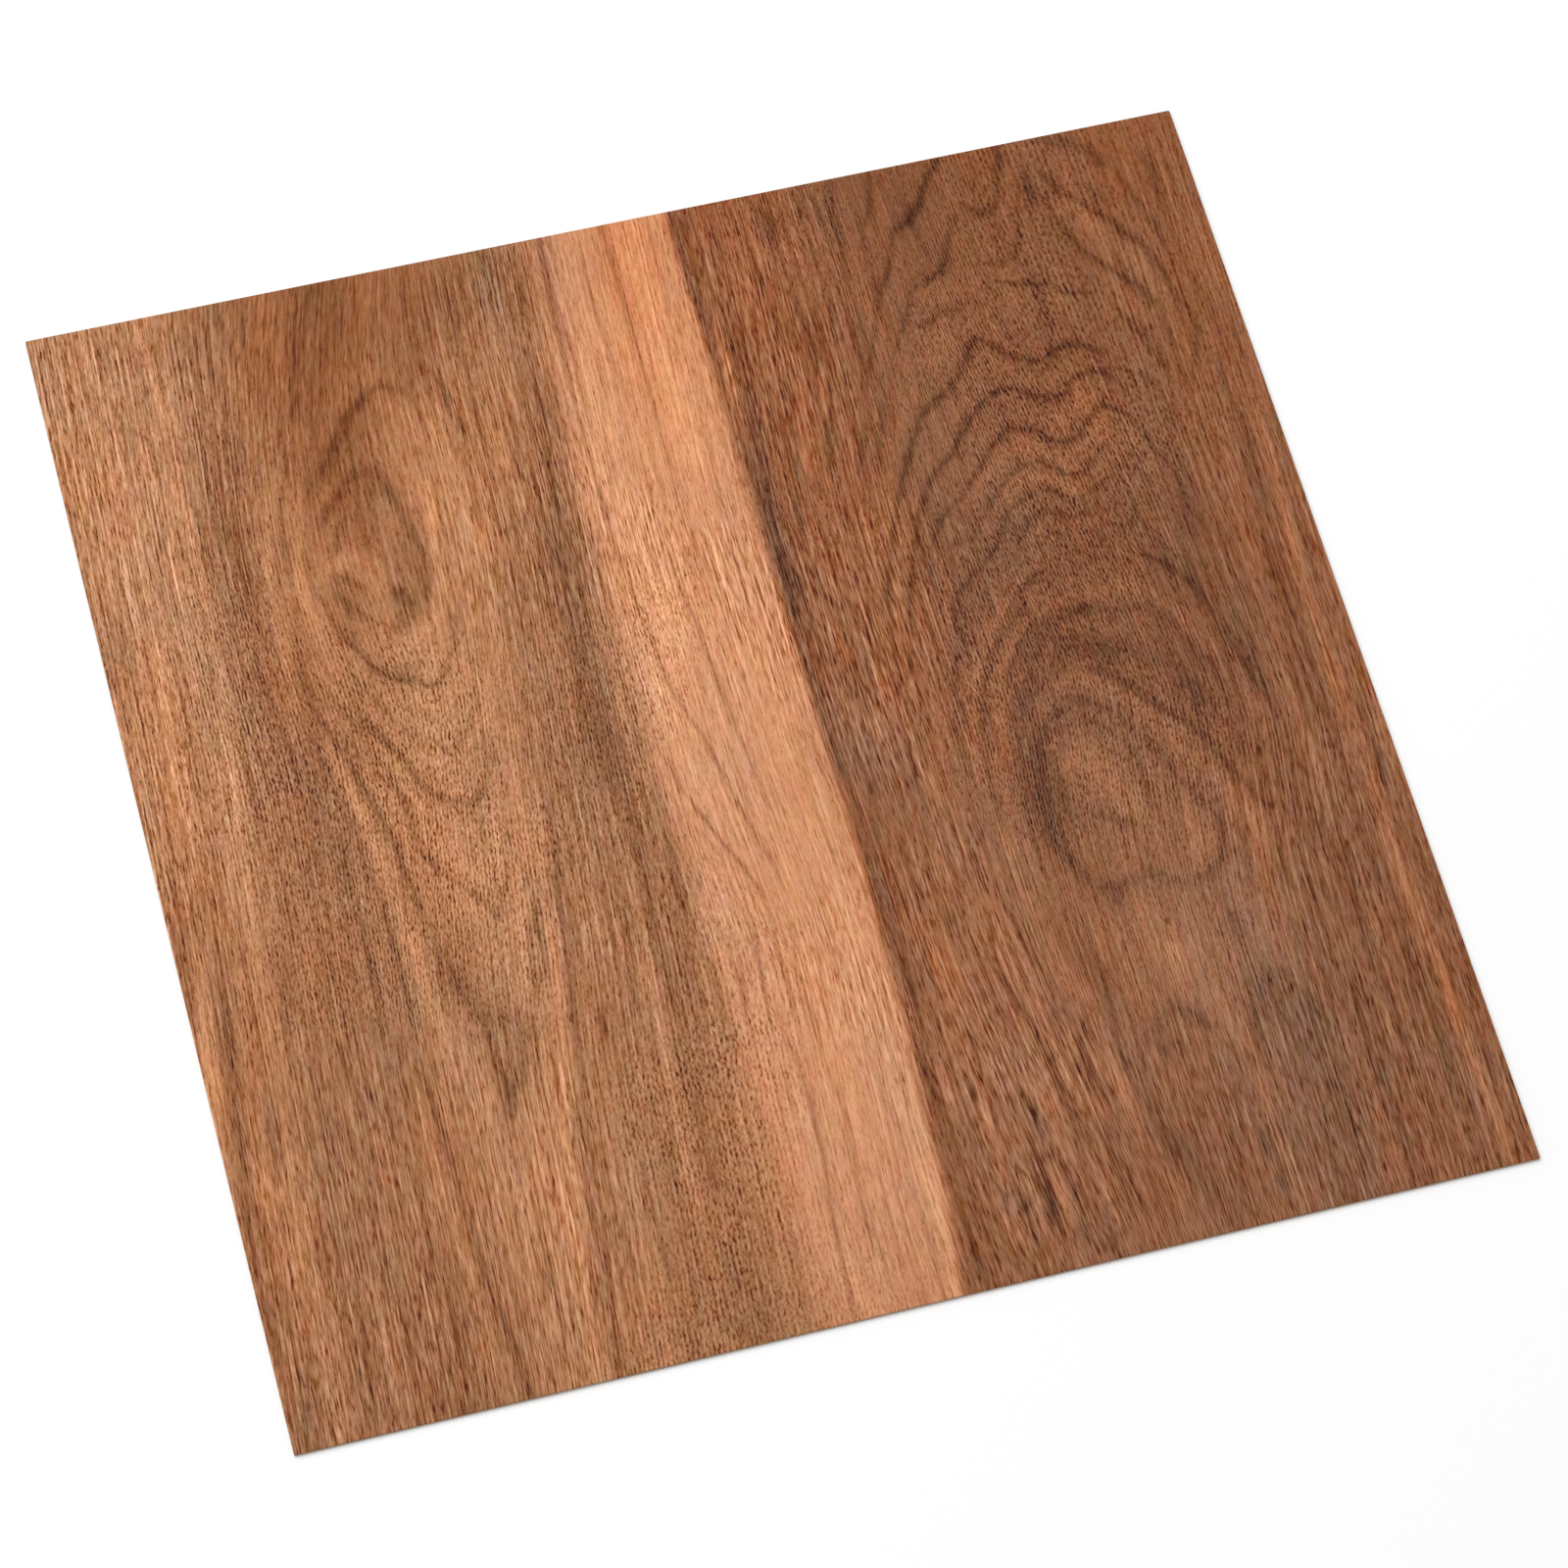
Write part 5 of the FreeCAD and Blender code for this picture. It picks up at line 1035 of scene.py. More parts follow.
# Brush work: strokes laid on the grid of the face

def smooth_step(low, high, x):
    """0 below low, 1 above high, and an even slope between."""
    t = np.clip((x - low) / (high - low), 0, 1)
    return t * t * (3 - 2 * t)


def along_curve(stroke):
    """The stroke's points joined by a smooth curve, with a point every CURVE_STEP dots."""
    points = np.array(stroke, float)
    ends = 2 * points[0] - points[1], 2 * points[-1] - points[-2]
    points = np.vstack([ends[0], points, ends[1]])
    pieces = []
    for a, b, c, d in zip(points[:-3], points[1:-2], points[2:-1], points[3:]):
        count = max(2, int(np.hypot(*(c - b)[:2]) / CURVE_STEP))
        t = np.linspace(0, 1, count, endpoint=False)[:, None]
        bend = (2 * a - 5 * b + 4 * c - d) * t**2 + (3 * b - a - 3 * c + d) * t**3
        pieces.append(0.5 * (2 * b + (c - a) * t + bend))
    pieces.append(points[-2:-1])
    return np.vstack(pieces)


def near_stroke(xs, ys, stroke, reach):
    """The part of the grid within reach of a stroke, its offsets from the curve, and the curve there."""
    curve = along_curve(stroke)
    margin = reach * curve[:, 2].max()
    i0, i1 = np.searchsorted(xs, [curve[:, 0].min() - margin, curve[:, 0].max() + margin])
    j0, j1 = np.searchsorted(ys, [curve[:, 1].min() - margin, curve[:, 1].max() + margin])
    x, y = np.meshgrid(xs[i0:i1], ys[j0:j1])
    squared = (x[..., None] - curve[:, 0]) ** 2 + (y[..., None] - curve[:, 1]) ** 2
    near = squared.argmin(-1)
    at_x, at_y, width, depth = np.moveaxis(curve[near], -1, 0)
    return np.s_[j0:j1, i0:i1], x - at_x, y - at_y, width, depth, curve, near


def brush(field, xs, ys, stroke):
    """Adds a soft stroke to the field: each point takes the level of the curve's nearest point."""
    part, dx, dy, width, depth, _, _ = near_stroke(xs, ys, stroke, BRUSH_REACH)
    field[part] += depth * np.exp(-(dx**2 + dy**2) / width**2)


def line_sides(xs, ys, strokes):
    """How far off the nearest stroke each point lies, in brush widths, with a minus on one side."""
    sides = np.full((len(ys), len(xs)), SIDE_FAR)
    for stroke in strokes:
        part, dx, dy, width, _, curve, near = near_stroke(xs, ys, stroke, SIDE_REACH)
        heading = np.gradient(curve[:, :2], axis=0)
        heading /= np.hypot(*heading.T)[:, None] + TINY
        along_x, along_y = np.moveaxis(heading[near], -1, 0)
        across = dx * along_y - dy * along_x
        beyond = np.abs(dx * along_x + dy * along_y) > SIDE_END
        side = np.where(beyond, np.copysign(np.hypot(dx, dy), across), across) / width
        nearer = np.abs(side) < np.abs(sides[part])
        sides[part][nearer] = side[nearer]
    return sides


def painted(xs, ys, strokes, ground=0.0):
    """A field of one level with all the strokes on it."""
    field = np.full((len(ys), len(xs)), float(ground))
    for stroke in strokes:
        brush(field, xs, ys, stroke)
    return field


def lowest(stroke):
    """The most that the stroke darkens by, as a level below 0."""
    return min(depth for _, _, _, depth in stroke)


def widest(stroke):
    """The stroke's greatest half-width."""
    return max(width for _, _, width, _ in stroke)


def evened(depth):
    """A line's depth, with the faint ones raised and the strong ones lowered."""
    return EVEN_LEVEL * (max(-depth, 0) / EVEN_LEVEL) ** EVEN_POWER


def softened(strokes, dark_lines):
    """The strokes, with the dark lines among them at the share that the soft tone carries."""
    shares = [LINE_SOFT if stroke in dark_lines else 1.0 for stroke in strokes]
    return [[(x, y, width, depth * share) for x, y, width, depth in stroke]
            for stroke, share in zip(strokes, shares)]


def cored(stroke):
    """The stroke that the crisp core of a dark line is cut from."""
    return [(x, y, LINE_SPREAD * width + LINE_MARGIN, -evened(depth)) for x, y, width, depth in stroke]


def faded(streaks):
    """Straight strokes that fade towards both ends."""
    strokes = []
    for x0, y0, x1, y1, width, depth in streaks:
        middle = ((x0 + x1) / 2, (y0 + y1) / 2, width, depth)
        faint = STREAK_END * depth
        strokes.append([(x0, y0, width, faint), middle, (x1, y1, width, faint)])
    return strokes


def gathered(xs, ys, hints, reach):
    """A field that passes smoothly through scattered hints of x, y and value."""
    x, y = np.meshgrid(xs, ys)
    total = np.zeros(x.shape)
    weight = np.full(x.shape, TINY)
    for hint_x, hint_y, value in hints:
        w = np.exp(-((x - hint_x) ** 2 + (y - hint_y) ** 2) / (2 * reach**2))
        total += w * value
        weight += w
    return total / weight


def fibre_lines(xs, ys):
    """For each point of the grid the fibre that runs through it, named by its x at mid-height."""
    wide = np.arange(-FIBRE_MARGIN, DOTS + FIBRE_MARGIN, FIBRE_STEP)
    rows = np.arange(0, DOTS + 1, FIBRE_STEP)
    lean = np.tan(np.radians(gathered(wide, rows, FIBRE_SLANTS, SLANT_REACH)))
    fibre = np.empty(lean.shape)
    middle = len(rows) // 2
    fibre[middle] = wide
    for j in range(middle + 1, len(rows)):
        fibre[j] = extended(wide - lean[j - 1] * FIBRE_STEP, wide, fibre[j - 1])
    for j in range(middle - 1, -1, -1):
        fibre[j] = extended(wide + lean[j + 1] * FIBRE_STEP, wide, fibre[j + 1])
    at_rows = np.array([np.interp(xs, wide, row) for row in fibre])
    return np.array([np.interp(ys, rows, column) for column in at_rows.T]).T


def extended(x, known_x, known_y):
    """Linear interpolation that keeps a slope of one beyond both ends."""
    inside = np.interp(x, known_x, known_y)
    return inside + np.minimum(x - known_x[0], 0) + np.maximum(x - known_x[-1], 0)


def figure_fields(xs, ys):
    """All that the material reads, on the grid of columns xs and rows ys, in dots."""
    x, y = np.meshgrid(xs, ys)
    pale_from = np.interp(y, *zip(*PALE_LEFT))
    pale_soft = np.interp(y, *zip(*PALE_LEFT_SOFT))
    pale_to = np.interp(y, *zip(*PALE_RIGHT))
    board = smooth_step(-1, 1, (x - pale_to) / PALE_RIGHT_SOFT)
    pale = smooth_step(-1, 1, (x - pale_from) / pale_soft) * (1 - board)
    every_line = LEFT_LINES + RIGHT_LINES + PALE_LINES
    dark_lines = [s for s in every_line if lowest(s) < 0 and widest(s) < LINE_WIDEST]
    boards = []
    for bands, fine_lines, streaks, ground in (
        (LEFT_BANDS, LEFT_LINES, LEFT_STREAKS, LEFT_GROUND),
        ([], PALE_LINES, PALE_STREAKS, PALE_GROUND),
        (RIGHT_BANDS, RIGHT_LINES, RIGHT_STREAKS, RIGHT_GROUND),
    ):
        strokes = bands + softened(fine_lines, dark_lines) + faded(streaks)
        boards.append(painted(xs, ys, strokes, ground))
    left, stripe, right = boards
    tone = left * (1 - pale - board) + stripe * pale + right * board
    lines = np.minimum(painted(xs, ys, [cored(stroke) for stroke in dark_lines]), 0)
    sides = line_sides(xs, ys, dark_lines)
    hue = painted(xs, ys, WARMTH)
    dive = np.clip(gathered(xs, ys, TICK_LENGTHS, HINT_REACH), 0, 1)
    ticks = gathered(xs, ys, TICK_DEPTHS, HINT_REACH)
    fibre = fibre_lines(xs, ys)
    return {
        "flow": (fibre * DOT_MM, y * DOT_MM, dive),
        "figure": (tone / WHITE, lines / WHITE, hue / WHITE),
        "zone": (pale, board, ticks / WHITE),
        "ring": (sides, 0 * sides, 0 * sides),
    }


# The mesh: one closed slab whose face is a fine grid

def face_lines(count, half):
    """Grid lines across the flat of the face: a narrow one at each end for the corner arcs."""
    flat = half - ROLLOVER
    inner = half - CORNER
    return np.concatenate([[-flat], np.linspace(-inner, inner, count - 1), [flat]])


def face_grid():
    """The flat of the printed face: its points, its faces, and the grid of the points' numbers."""
    xs = face_lines(FACE_COLUMNS, WIDTH / 2)
    ys = face_lines(FACE_ROWS, LENGTH / 2)
    index = np.arange(len(xs) * len(ys)).reshape(len(ys), len(xs))
    grid_x, grid_y = np.meshgrid(xs, ys)
    points = np.stack([grid_x, grid_y, np.full(grid_x.shape, HIGH.z)], -1).reshape(-1, 3)
    quads = np.stack([index[:-1, :-1], index[:-1, 1:], index[1:, 1:], index[1:, :-1]], -1)
    # The four corner squares give way to the arcs
    keep = np.ones(quads.shape[:2], bool)
    keep[[0, 0, -1, -1], [0, -1, 0, -1]] = False
    return points, [tuple(quad) for quad in quads[keep].tolist()], index


def face_rim(points, index):
    """The flat face's rim, anticlockwise from the front left, and the way that each of its points
    moves as the rim rolls over; the points of the corner arcs, and the faces that fill them."""
    rim, outward, arc_points, fans = [], [], [], []
    sides = [
        (index[0, 1:-1], (0, -1)),
        (index[1:-1, -1], (1, 0)),
        (index[-1, -2:0:-1], (0, 1)),
        (index[-2:0:-1, 0], (-1, 0)),
    ]
    centres = [index[1, -2], index[-2, -2], index[-2, 1], index[1, 1]]
    radius = CORNER - ROLLOVER
    for side, ((line, way), centre) in enumerate(zip(sides, centres)):
        rim += line.tolist()
        outward += [way] * len(line)
        start = math.atan2(way[1], way[0])
        arc = []
        for step in range(1, CORNER_STEPS):
            angle = start + step / CORNER_STEPS * math.pi / 2
            turn = (math.cos(angle), math.sin(angle))
            arc.append(len(points) + len(arc_points))
            at = points[centre]
            arc_points.append((at[0] + turn[0] * radius, at[1] + turn[1] * radius, HIGH.z))
            outward.append(turn)
        rim += arc
        next_line = sides[(side + 1) % len(sides)][0]
        around = [int(line[-1]), *arc, int(next_line[0])]
        fans += [(int(centre), a, b) for a, b in zip(around[:-1], around[1:])]
    return rim, np.array(outward), arc_points, fans


def make_slab():
    """The slab's points and faces, the material of each face, and the points that no face uses."""
    points, faces, index = face_grid()
    rim, outward, arc_points, fans = face_rim(points, index)
    points = np.vstack([points, arc_points])
    faces += fans
    kinds = [FACE] * len(faces)

    # How far out and how high each ring lies: down the rolled rim, then at the foot of the cut side
    rings = []
    for step in range(1, ROLLOVER_STEPS + 1):
        angle = step / ROLLOVER_STEPS * math.pi / 2
        rings.append((ROLLOVER * math.sin(angle), HIGH.z - ROLLOVER * (1 - math.cos(angle)), FACE))
    rings.append((ROLLOVER, LOW.z, EDGE))
    flat = points[rim]
    above = rim
    for out, height, kind in rings:
        ring = flat.copy()
        ring[:, :2] += outward * out
        ring[:, 2] = height
        below = list(range(len(points), len(points) + len(ring)))
        points = np.vstack([points, ring])
        for i in range(len(rim)):
            j = (i + 1) % len(rim)
            faces.append((above[i], below[i], below[j], above[j]))
            kinds.append(kind)
        above = below
    faces.append(tuple(reversed(above)))
    kinds.append(UNDER)
    unused = [int(index[row, column]) for row in (0, -1) for column in (0, -1)]
    return points, faces, kinds, unused


def bake_places(points, faces, kinds):
    """A map for each corner of each face: the printed face first, the rest in the margins."""
    places = []
    half_x, half_y = WIDTH / 2, LENGTH / 2
    for face, kind in zip(faces, kinds):
        at = points[list(face)]
        x = (at[:, 0] + half_x) / WIDTH
        y = (at[:, 1] + half_y) / LENGTH
        if kind == FACE:
            u, v = BAKE_GAP + BAKE_SQUARE * x, BAKE_GAP + BAKE_SQUARE * y
        elif kind == UNDER:
            u, v = BAKE_MARGIN + BACK_STRIP * x, BAKE_GAP + BAKE_SQUARE * y
        else:
            across = np.ptp(at[:, 0]) > np.ptp(at[:, 1])
            run = x if across else y
            centre = at.mean(0)
            strip = (0 if centre[1] < 0 else 1) if across else (2 if centre[0] < 0 else 3)
            u = BAKE_GAP + SIDE_LENGTH * run
            v = BAKE_MARGIN + SIDE_PITCH * strip + SIDE_STRIP * (at[:, 2] - LOW.z) / THICKNESS
        places.append(np.stack([u, v], 1))
    return np.vstack(places)


def make_tile(materials):
    """The tile's object, with the figure on its points as attributes."""
    points, faces, kinds, unused = make_slab()
    used = np.ones(len(points), bool)
    used[unused] = False
    new_index = np.cumsum(used) - 1
    points = points[used]
    faces = [tuple(int(new_index[i]) for i in face) for face in faces]
    mesh = bpy.data.meshes.new("printed_tile")
    mesh.from_pydata(points.tolist(), [], faces)
    mesh.polygons.foreach_set("material_index", kinds)
    mesh.polygons.foreach_set("use_smooth", [kind == FACE for kind in kinds])
    layer = mesh.uv_layers.new(name="OFBake")
    layer.uv.foreach_set("vector", bake_places(points, faces, kinds).astype(np.float32).ravel())
    add_figure(mesh, points)
    for material in materials:
        mesh.materials.append(material)
    mesh.validate()
    mesh.update()
    tile = bpy.data.objects.new("printed_tile", mesh)
    bpy.context.scene.collection.objects.link(tile)
    return tile


def add_figure(mesh, points):
    """Samples the figure on its own grid and carries it to the mesh's points."""
    xs = (face_lines(FACE_COLUMNS, WIDTH / 2) / WIDTH + 0.5) * DOTS
    ys = (face_lines(FACE_ROWS, LENGTH / 2) / LENGTH + 0.5) * DOTS
    dots_x = (points[:, 0] / WIDTH + 0.5) * DOTS
    dots_y = (0.5 - points[:, 1] / LENGTH) * DOTS
    i = np.abs(xs[None, :] - dots_x[:, None]).argmin(1)
    j = np.abs(ys[None, :] - dots_y[:, None]).argmin(1)
    for name, channels in figure_fields(xs, ys).items():
        values = np.stack([channel[j, i] for channel in channels], 1)
        attribute = mesh.attributes.new(name, "FLOAT_VECTOR", "POINT")
        attribute.data.foreach_set("vector", values.astype(np.float32).ravel())


# The materials

class Graph:
    """A material and its nodes, with a short call for each kind of node."""

    def __init__(self, name):
        self.material = bpy.data.materials.new(name)
        self.material.use_nodes = True
        self.tree = self.material.node_tree
        self.tree.nodes.clear()

    def node(self, kind, **settings):
        made = self.tree.nodes.new(kind)
        for name, value in settings.items():
            setattr(made, name, value)
        return made

    def feed(self, socket, value):
        if isinstance(value, bpy.types.NodeSocket):
            self.tree.links.new(value, socket)
        else:
            socket.default_value = value

    def math(self, operation, *values):
        made = self.node("ShaderNodeMath", operation=operation)
        for socket, value in zip(made.inputs, values):
            self.feed(socket, value)
        return made.outputs[0]

    def add(self, *values):
        total = values[0]
        for value in values[1:]:
            total = self.math("ADD", total, value)
        return total

    def times(self, a, b):
        return self.math("MULTIPLY", a, b)

    def blend(self, share, a, b):
        """a where share is 0, b where it is 1."""
        return self.math("MULTIPLY_ADD", share, self.math("SUBTRACT", b, a), a)

    def vector_math(self, operation, *values):
        made = self.node("ShaderNodeVectorMath", operation=operation)
        for socket, value in zip(made.inputs, values):
            self.feed(socket, value)
        return made.outputs[0]

    def scaled(self, vector, factor):
        made = self.node("ShaderNodeVectorMath", operation="SCALE")
        self.feed(made.inputs[0], vector)
        self.feed(made.inputs["Scale"], factor)
        return made.outputs[0]

    def mixed(self, share, a, b):
        """A vector: a where share is 0, b where it is 1."""
        made = self.node("ShaderNodeMix", data_type="VECTOR")
        self.feed(made.inputs[0], share)
        self.feed(made.inputs[4], a)
        self.feed(made.inputs[5], b)
        return made.outputs[1]

    def attribute(self, name):
        made = self.node("ShaderNodeAttribute", attribute_name=name)
        return made.outputs["Vector"]

    def split(self, vector):
        made = self.node("ShaderNodeSeparateXYZ")
        self.feed(made.inputs[0], vector)
        return tuple(made.outputs)

    def join(self, x, y, z):
        made = self.node("ShaderNodeCombineXYZ")
        for socket, value in zip(made.inputs, (x, y, z)):
            self.feed(socket, value)
        return made.outputs[0]

    def noise(self, x, y, size_x, size_y, seed, detail=1.0, roughness=0.5):
        """Soft noise about 0, roughly from -0.5 to 0.5, whose grains are size_x by size_y."""
        place = self.join(self.times(x, 1 / size_x), self.times(y, 1 / size_y), seed * SEED_STEP)
        made = self.node("ShaderNodeTexNoise", noise_dimensions="3D")
        self.feed(made.inputs["Vector"], place)
        made.inputs["Scale"].default_value = 1.0
        made.inputs["Detail"].default_value = detail
        made.inputs["Roughness"].default_value = roughness
        return self.math("SUBTRACT", made.outputs[0], 0.5)

    def bump(self, height, strength, distance):
        made = self.node("ShaderNodeBump")
        made.inputs["Strength"].default_value = strength
        made.inputs["Distance"].default_value = distance
        self.feed(made.inputs["Height"], height)
        return made.outputs["Normal"]

    def surface(self, color, roughness, normal, specular):
        shader = self.node("ShaderNodeBsdfPrincipled")
        shader.inputs["IOR"].default_value = VINYL_IOR
        shader.inputs["Specular IOR Level"].default_value = specular
        self.feed(shader.inputs["Base Color"], color)
        self.feed(shader.inputs["Roughness"], roughness)
        self.feed(shader.inputs["Normal"], normal)
        output = self.node("ShaderNodeOutputMaterial")
        self.feed(output.inputs["Surface"], shader.outputs[0])
        return self.material


def level(*rgb):
    """A colour in display levels as shares of white."""
    return tuple(channel / WHITE for channel in rgb)


def to_linear(graph, display):
    """A display colour as linear light, with what the sheen adds taken off again."""
    channels = []
    for channel in graph.split(display):
        light = graph.math("POWER", graph.math("MAXIMUM", channel, DARKEST_DISPLAY), DISPLAY_POWER)
        light = graph.math("MULTIPLY_ADD", light, LIGHT_GAIN, -SHEEN_VEIL)
        channels.append(graph.math("MAXIMUM", light, DARKEST_LIGHT))
    return graph.join(*channels)


def printed_face():
    """The printed wood under its clear wear layer."""
    g = Graph("printed_wood")
    fibre, run, dive = g.split(g.attribute("flow"))
    tone, lines, hue = g.split(g.attribute("figure"))
    pale, board, depth = g.split(g.attribute("zone"))

    # Ticks: long in straight grain, and short and evenly hatched where the fibres dive
    long_ticks = g.noise(fibre, run, *LONG_TICKS)
    short_ticks = g.noise(fibre, run, *SHORT_TICKS)
    wander = g.blend(
        dive,
        g.noise(fibre, run, *LONG_WANDER, detail=0.0),
        g.noise(fibre, run, *SHORT_WANDER, detail=0.0),
    )
    turns = g.add(g.times(fibre, 2 * math.pi / HATCH_PITCH_MM), g.times(wander, HATCH_WANDER))
    hatch = g.times(g.times(g.math("SINE", turns), HATCH_SHARE), dive)
    ticks = g.add(g.times(g.blend(dive, long_ticks, short_ticks), TICK_SHARE), hatch)

    # Pores in the deepest ticks, in rows that swell and fade, then long hairs and even grain
    rows = g.times(g.noise(fibre, run, *ROWS), ROW_SWING)
    rows = g.math("MAXIMUM", g.add(rows, 1.0), ROW_LEAST)
    pores = g.times(g.math("MINIMUM", g.add(ticks, PORE_FROM), 0.0), g.times(rows, PORE_GAIN))
    hairs = g.noise(fibre, run, *HAIRS)
    hairs = g.times(hairs, g.blend(dive, HAIR_GAIN, SHORT_HAIR_SHARE * HAIR_GAIN))
    grain = g.times(g.noise(fibre, run, *GRAIN, detail=0.0), GRAIN_LEVEL / WHITE)
    fine = g.add(g.times(depth, g.add(g.times(ticks, TICK_GAIN), pores, hairs, PORE_LIFT)), grain)

    # The soft tone of the figure
    threads = g.times(g.noise(fibre, run, *THREADS), THREAD_LEVEL / WHITE)
    streaks = g.times(g.noise(fibre, run, *STREAKS), STREAK_LEVEL / WHITE)
    clouds = g.times(g.noise(fibre, run, *CLOUDS), CLOUD_LEVEL / WHITE)
    soft = g.add(tone, threads, streaks, clouds)

    # The crisp cores of the dark lines
    side = g.split(g.attribute("ring"))[0]
    off = g.times(g.add(side, g.times(ticks, LINE_FRAY)), LINE_SHARP)
    core = g.math("POWER", g.add(1.0, g.times(off, off)), LINE_FALL)
    crossed = g.times(g.times(lines, core), g.add(LINE_CORE, g.times(ticks, -LINE_BREAK)))

    # Each wood's colour moves with its tone, and the fine grain and the dark lines lie on top
    zones = []
    for mean, way in ((LEFT_MEAN, LEFT_WAY), (PALE_MEAN, PALE_WAY), (RIGHT_MEAN, RIGHT_WAY)):
        above = g.math("SUBTRACT", soft, sum(mean) / len(mean) / WHITE)
        zones.append(g.vector_math("ADD", level(*mean), g.scaled(way, above)))
    left, stripe, right = zones
    color = g.mixed(board, g.mixed(pale, left, stripe), right)
    color = g.vector_math("ADD", color, g.scaled(FINE_WAY, fine))
    color = g.vector_math("ADD", color, g.scaled(LINE_WAY, crossed))

    # Orange and olive patches
    patches = g.add(
        hue,
        g.times(g.noise(fibre, run, *PATCHES, detail=2.0), PATCH_LEVEL / WHITE),
        g.times(g.noise(fibre, run, *WIDE_PATCHES), WIDE_PATCH_LEVEL / WHITE),
    )
    color = g.vector_math("ADD", color, g.scaled(HUE_WAY, patches))
    olive = g.times(g.noise(fibre, run, *OLIVE_PATCHES, detail=2.0), OLIVE_LEVEL / WHITE)
    color = g.vector_math("ADD", color, g.scaled(OLIVE_WAY, olive))

    # The shallow emboss of the wear layer
    height = g.add(ticks, g.times(g.noise(fibre, run, *DIMPLES), DIMPLE_SHARE))
    rough = g.add(FACE_ROUGHNESS, g.times(ticks, TICK_GLOSS), g.times(clouds, CLOUD_DULL))
    normal = g.bump(height, FACE_BUMP, FACE_BUMP_DEPTH)
    return g.surface(to_linear(g, color), rough, normal, FACE_SPECULAR)


def object_place(graph):
    """The object's own coordinates in millimetres, split into x, y and z."""
    place = graph.node("ShaderNodeTexCoord").outputs["Object"]
    return graph.split(graph.scaled(place, 1 / MM))


def shaded(graph, color, *parts):
    """The colour, made lighter and darker by each noise at its share."""
    shade = graph.add(1.0, *(graph.times(noise, share) for noise, share in parts))
    return graph.scaled(color, shade)


def cut_edge():
    """The punched side: filled vinyl, with the print's thin dark line at the top."""
    g = Graph("cut_vinyl")
    x, y, z = object_place(g)
    along = g.add(x, y)
    scuffs = g.noise(along, z, *SCUFFS, detail=2.0)
    speckle = g.noise(along, z, *SPECKLE, detail=2.0, roughness=SPECKLE_HARSH)
    smears = g.noise(along, z, *SMEARS)
    film = g.math("GREATER_THAN", z, THICKNESS / MM - ROLLOVER / MM - FILM_MM)
    color = g.mixed(film, level(*CORE_COLOR), level(*FILM_COLOR))
    color = shaded(g, color, (scuffs, SCUFF_SHADE), (speckle, SPECKLE_SHADE), (smears, SMEAR_SHADE))
    rough = g.add(CUT_ROUGHNESS, g.times(scuffs, SCUFF_DULL))
    height = g.add(scuffs, g.times(speckle, SPECKLE_HEIGHT))
    normal = g.bump(height, CUT_BUMP, CUT_BUMP_DEPTH)
    return g.surface(to_linear(g, color), rough, normal, PLAIN_SPECULAR)


def underside():
    """The plain back: filled vinyl with the faint crossed emboss of the roller and mineral specks."""
    g = Graph("vinyl_back")
    x, y, _ = object_place(g)
    specks = g.noise(x, y, *SPECKS, detail=2.0, roughness=SPECK_HARSH)
    clouds = g.noise(x, y, *BACK_CLOUDS, detail=2.0)
    drag = g.noise(x, y, *DRAG)
    cross_x = g.math("SINE", g.times(x, 2 * math.pi / BACK_PITCH_MM))
    cross_y = g.math("SINE", g.times(y, 2 * math.pi / BACK_PITCH_MM))
    emboss = g.times(cross_x, cross_y)
    grime = (specks, SPECK_SHADE), (clouds, BACK_CLOUD_SHADE), (drag, DRAG_SHADE)
    color = shaded(g, level(*BACK_COLOR), *grime)
    rough = g.add(BACK_ROUGHNESS, g.times(specks, SPECK_DULL))
    height = g.add(emboss, g.times(specks, SPECK_HEIGHT))
    normal = g.bump(height, BACK_BUMP, BACK_BUMP_DEPTH)
    return g.surface(to_linear(g, color), rough, normal, PLAIN_SPECULAR)


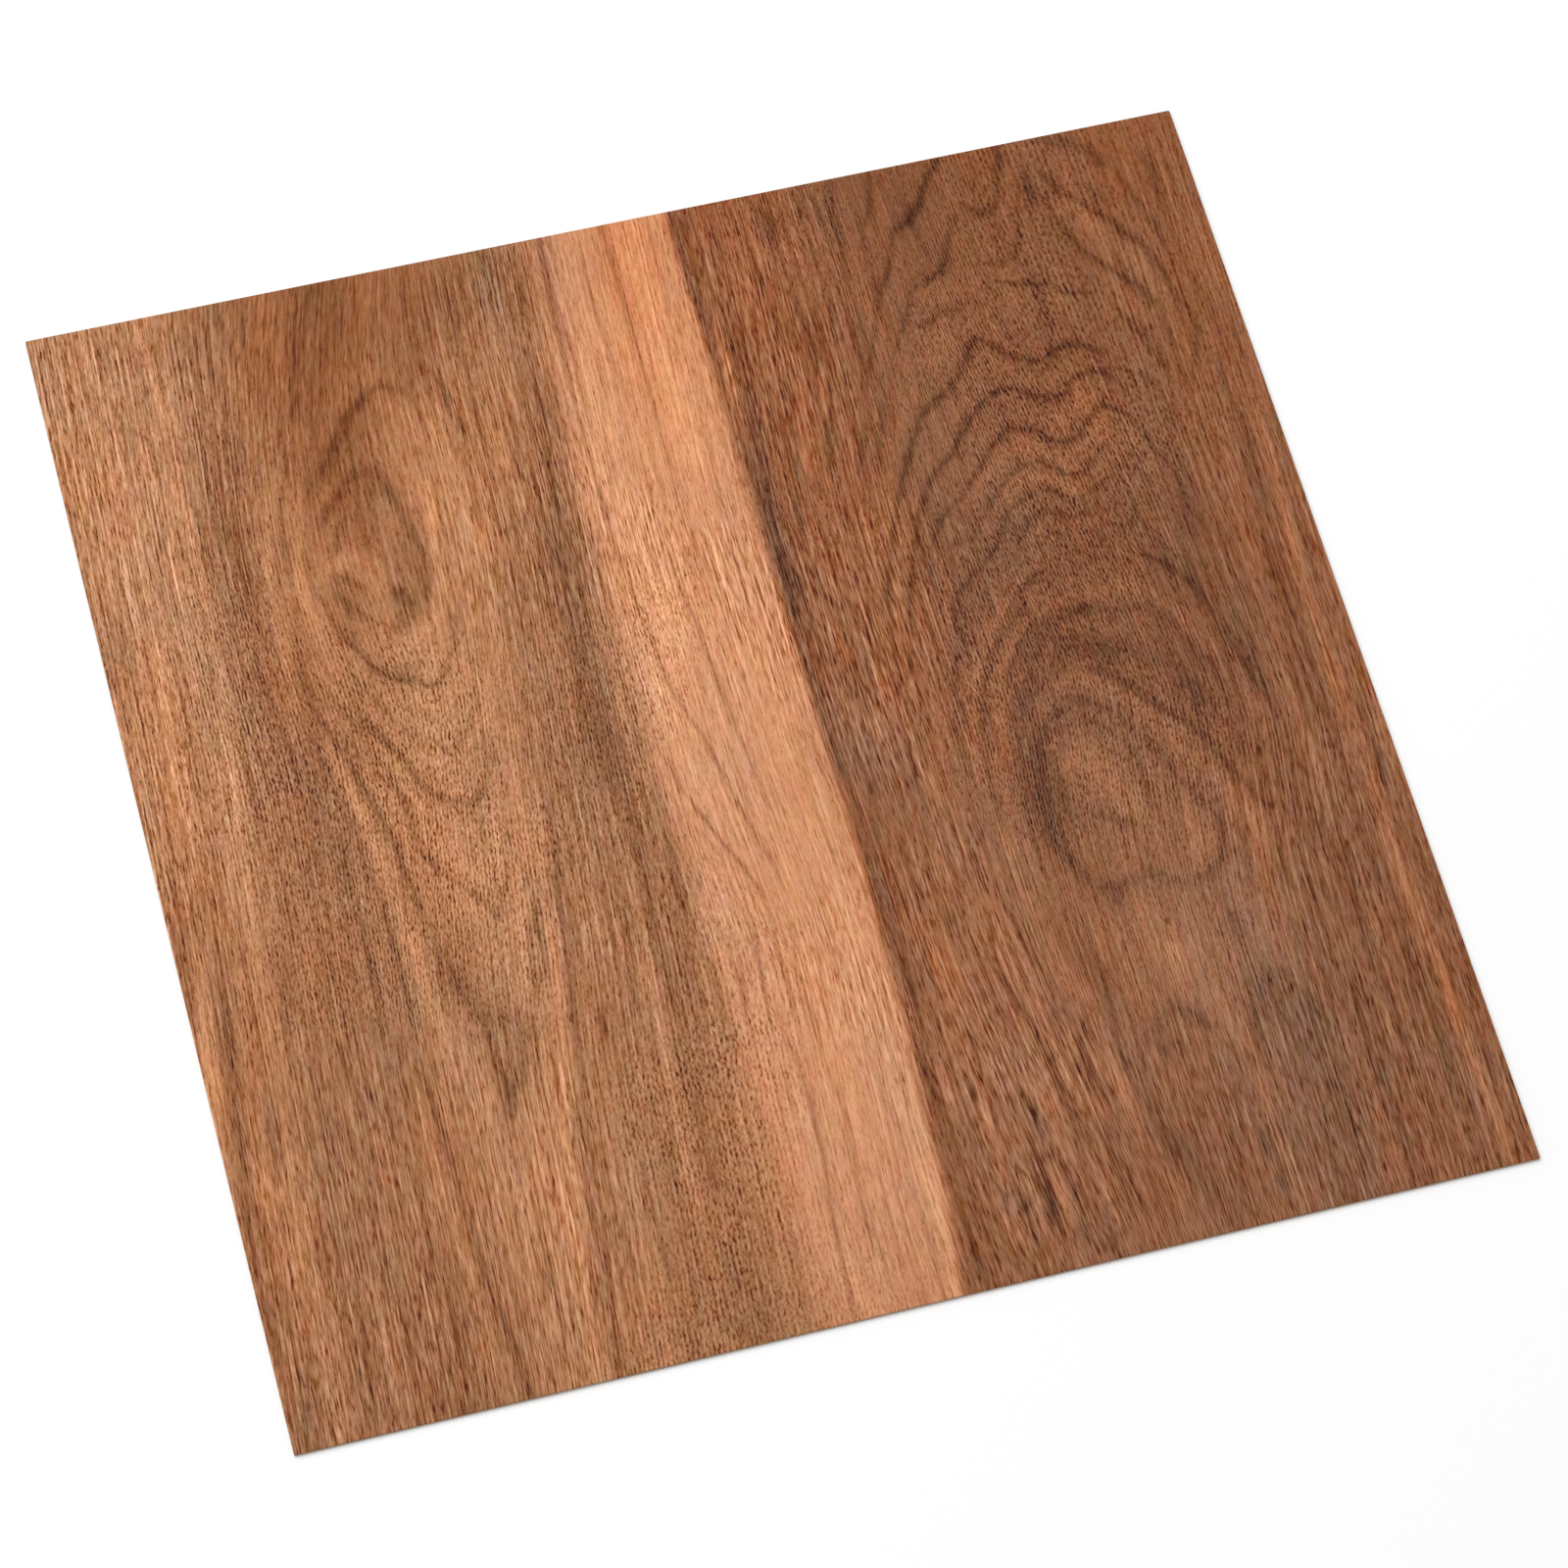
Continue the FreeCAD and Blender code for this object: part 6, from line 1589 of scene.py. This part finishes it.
def pale_floor():
    """The studio's floor, which is plain white but for a faint mottle."""
    g = Graph("studio_floor")
    x, y, _ = object_place(g)
    mottle = g.noise(x, y, *FLOOR_MOTTLE)
    color = shaded(g, level(FLOOR_LEVEL, FLOOR_LEVEL, FLOOR_LEVEL), (mottle, FLOOR_MOTTLE_SHADE))
    made = g.node("ShaderNodeBsdfDiffuse")
    g.feed(made.inputs["Color"], color)
    output = g.node("ShaderNodeOutputMaterial")
    g.feed(output.inputs["Surface"], made.outputs[0])
    return g.material


# The studio

def make_floor():
    """A wide plane at the height of the tile's underside."""
    mesh = bpy.data.meshes.new("floor")
    r = FLOOR_HALF
    mesh.from_pydata([(-r, -r, 0), (r, -r, 0), (r, r, 0), (-r, r, 0)], [], [(0, 1, 2, 3)])
    mesh.materials.append(pale_floor())
    floor = bpy.data.objects.new("floor", mesh)
    bpy.context.scene.collection.objects.link(floor)


def make_light():
    """A white room and one wide soft panel overhead, a little behind and left of the tile."""
    world = bpy.data.worlds.new("room")
    world.use_nodes = True
    background = world.node_tree.nodes["Background"]
    background.inputs["Color"].default_value = (1, 1, 1, 1)
    background.inputs["Strength"].default_value = ROOM_STRENGTH
    bpy.context.scene.world = world
    data = bpy.data.lights.new("panel", "AREA")
    data.shape = "SQUARE"
    data.size = PANEL_SIZE
    data.energy = PANEL_POWER
    panel = bpy.data.objects.new("panel", data)
    panel.location = PANEL_PLACE
    panel.rotation_euler = (-Vector(PANEL_PLACE)).to_track_quat("-Z", "Y").to_euler()
    bpy.context.scene.collection.objects.link(panel)


def make_camera():
    """The photograph's camera, found from the four corners of the tile in it."""
    data = bpy.data.cameras.new("camera")
    data.lens = LENS_MM
    data.sensor_width = SENSOR_MM
    data.sensor_fit = "HORIZONTAL"
    camera = bpy.data.objects.new("camera", data)
    camera.location = CAMERA_PLACE
    aim = Vector(CAMERA_TARGET) - Vector(CAMERA_PLACE)
    turn = aim.to_track_quat("-Z", "Y") @ Quaternion((0, 0, 1), math.radians(CAMERA_ROLL))
    camera.rotation_euler = turn.to_euler()
    bpy.context.scene.collection.objects.link(camera)
    bpy.context.scene.camera = camera


def main():
    """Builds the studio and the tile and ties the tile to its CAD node."""
    scene = bpy.context.scene
    scene.view_settings.view_transform = "Standard"
    make_camera()
    make_light()
    make_floor()
    tile = make_tile([printed_face(), cut_edge(), underside()])
    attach(tile, BODY)
    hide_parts(NODE)
    bpy.context.view_layer.update()


main()
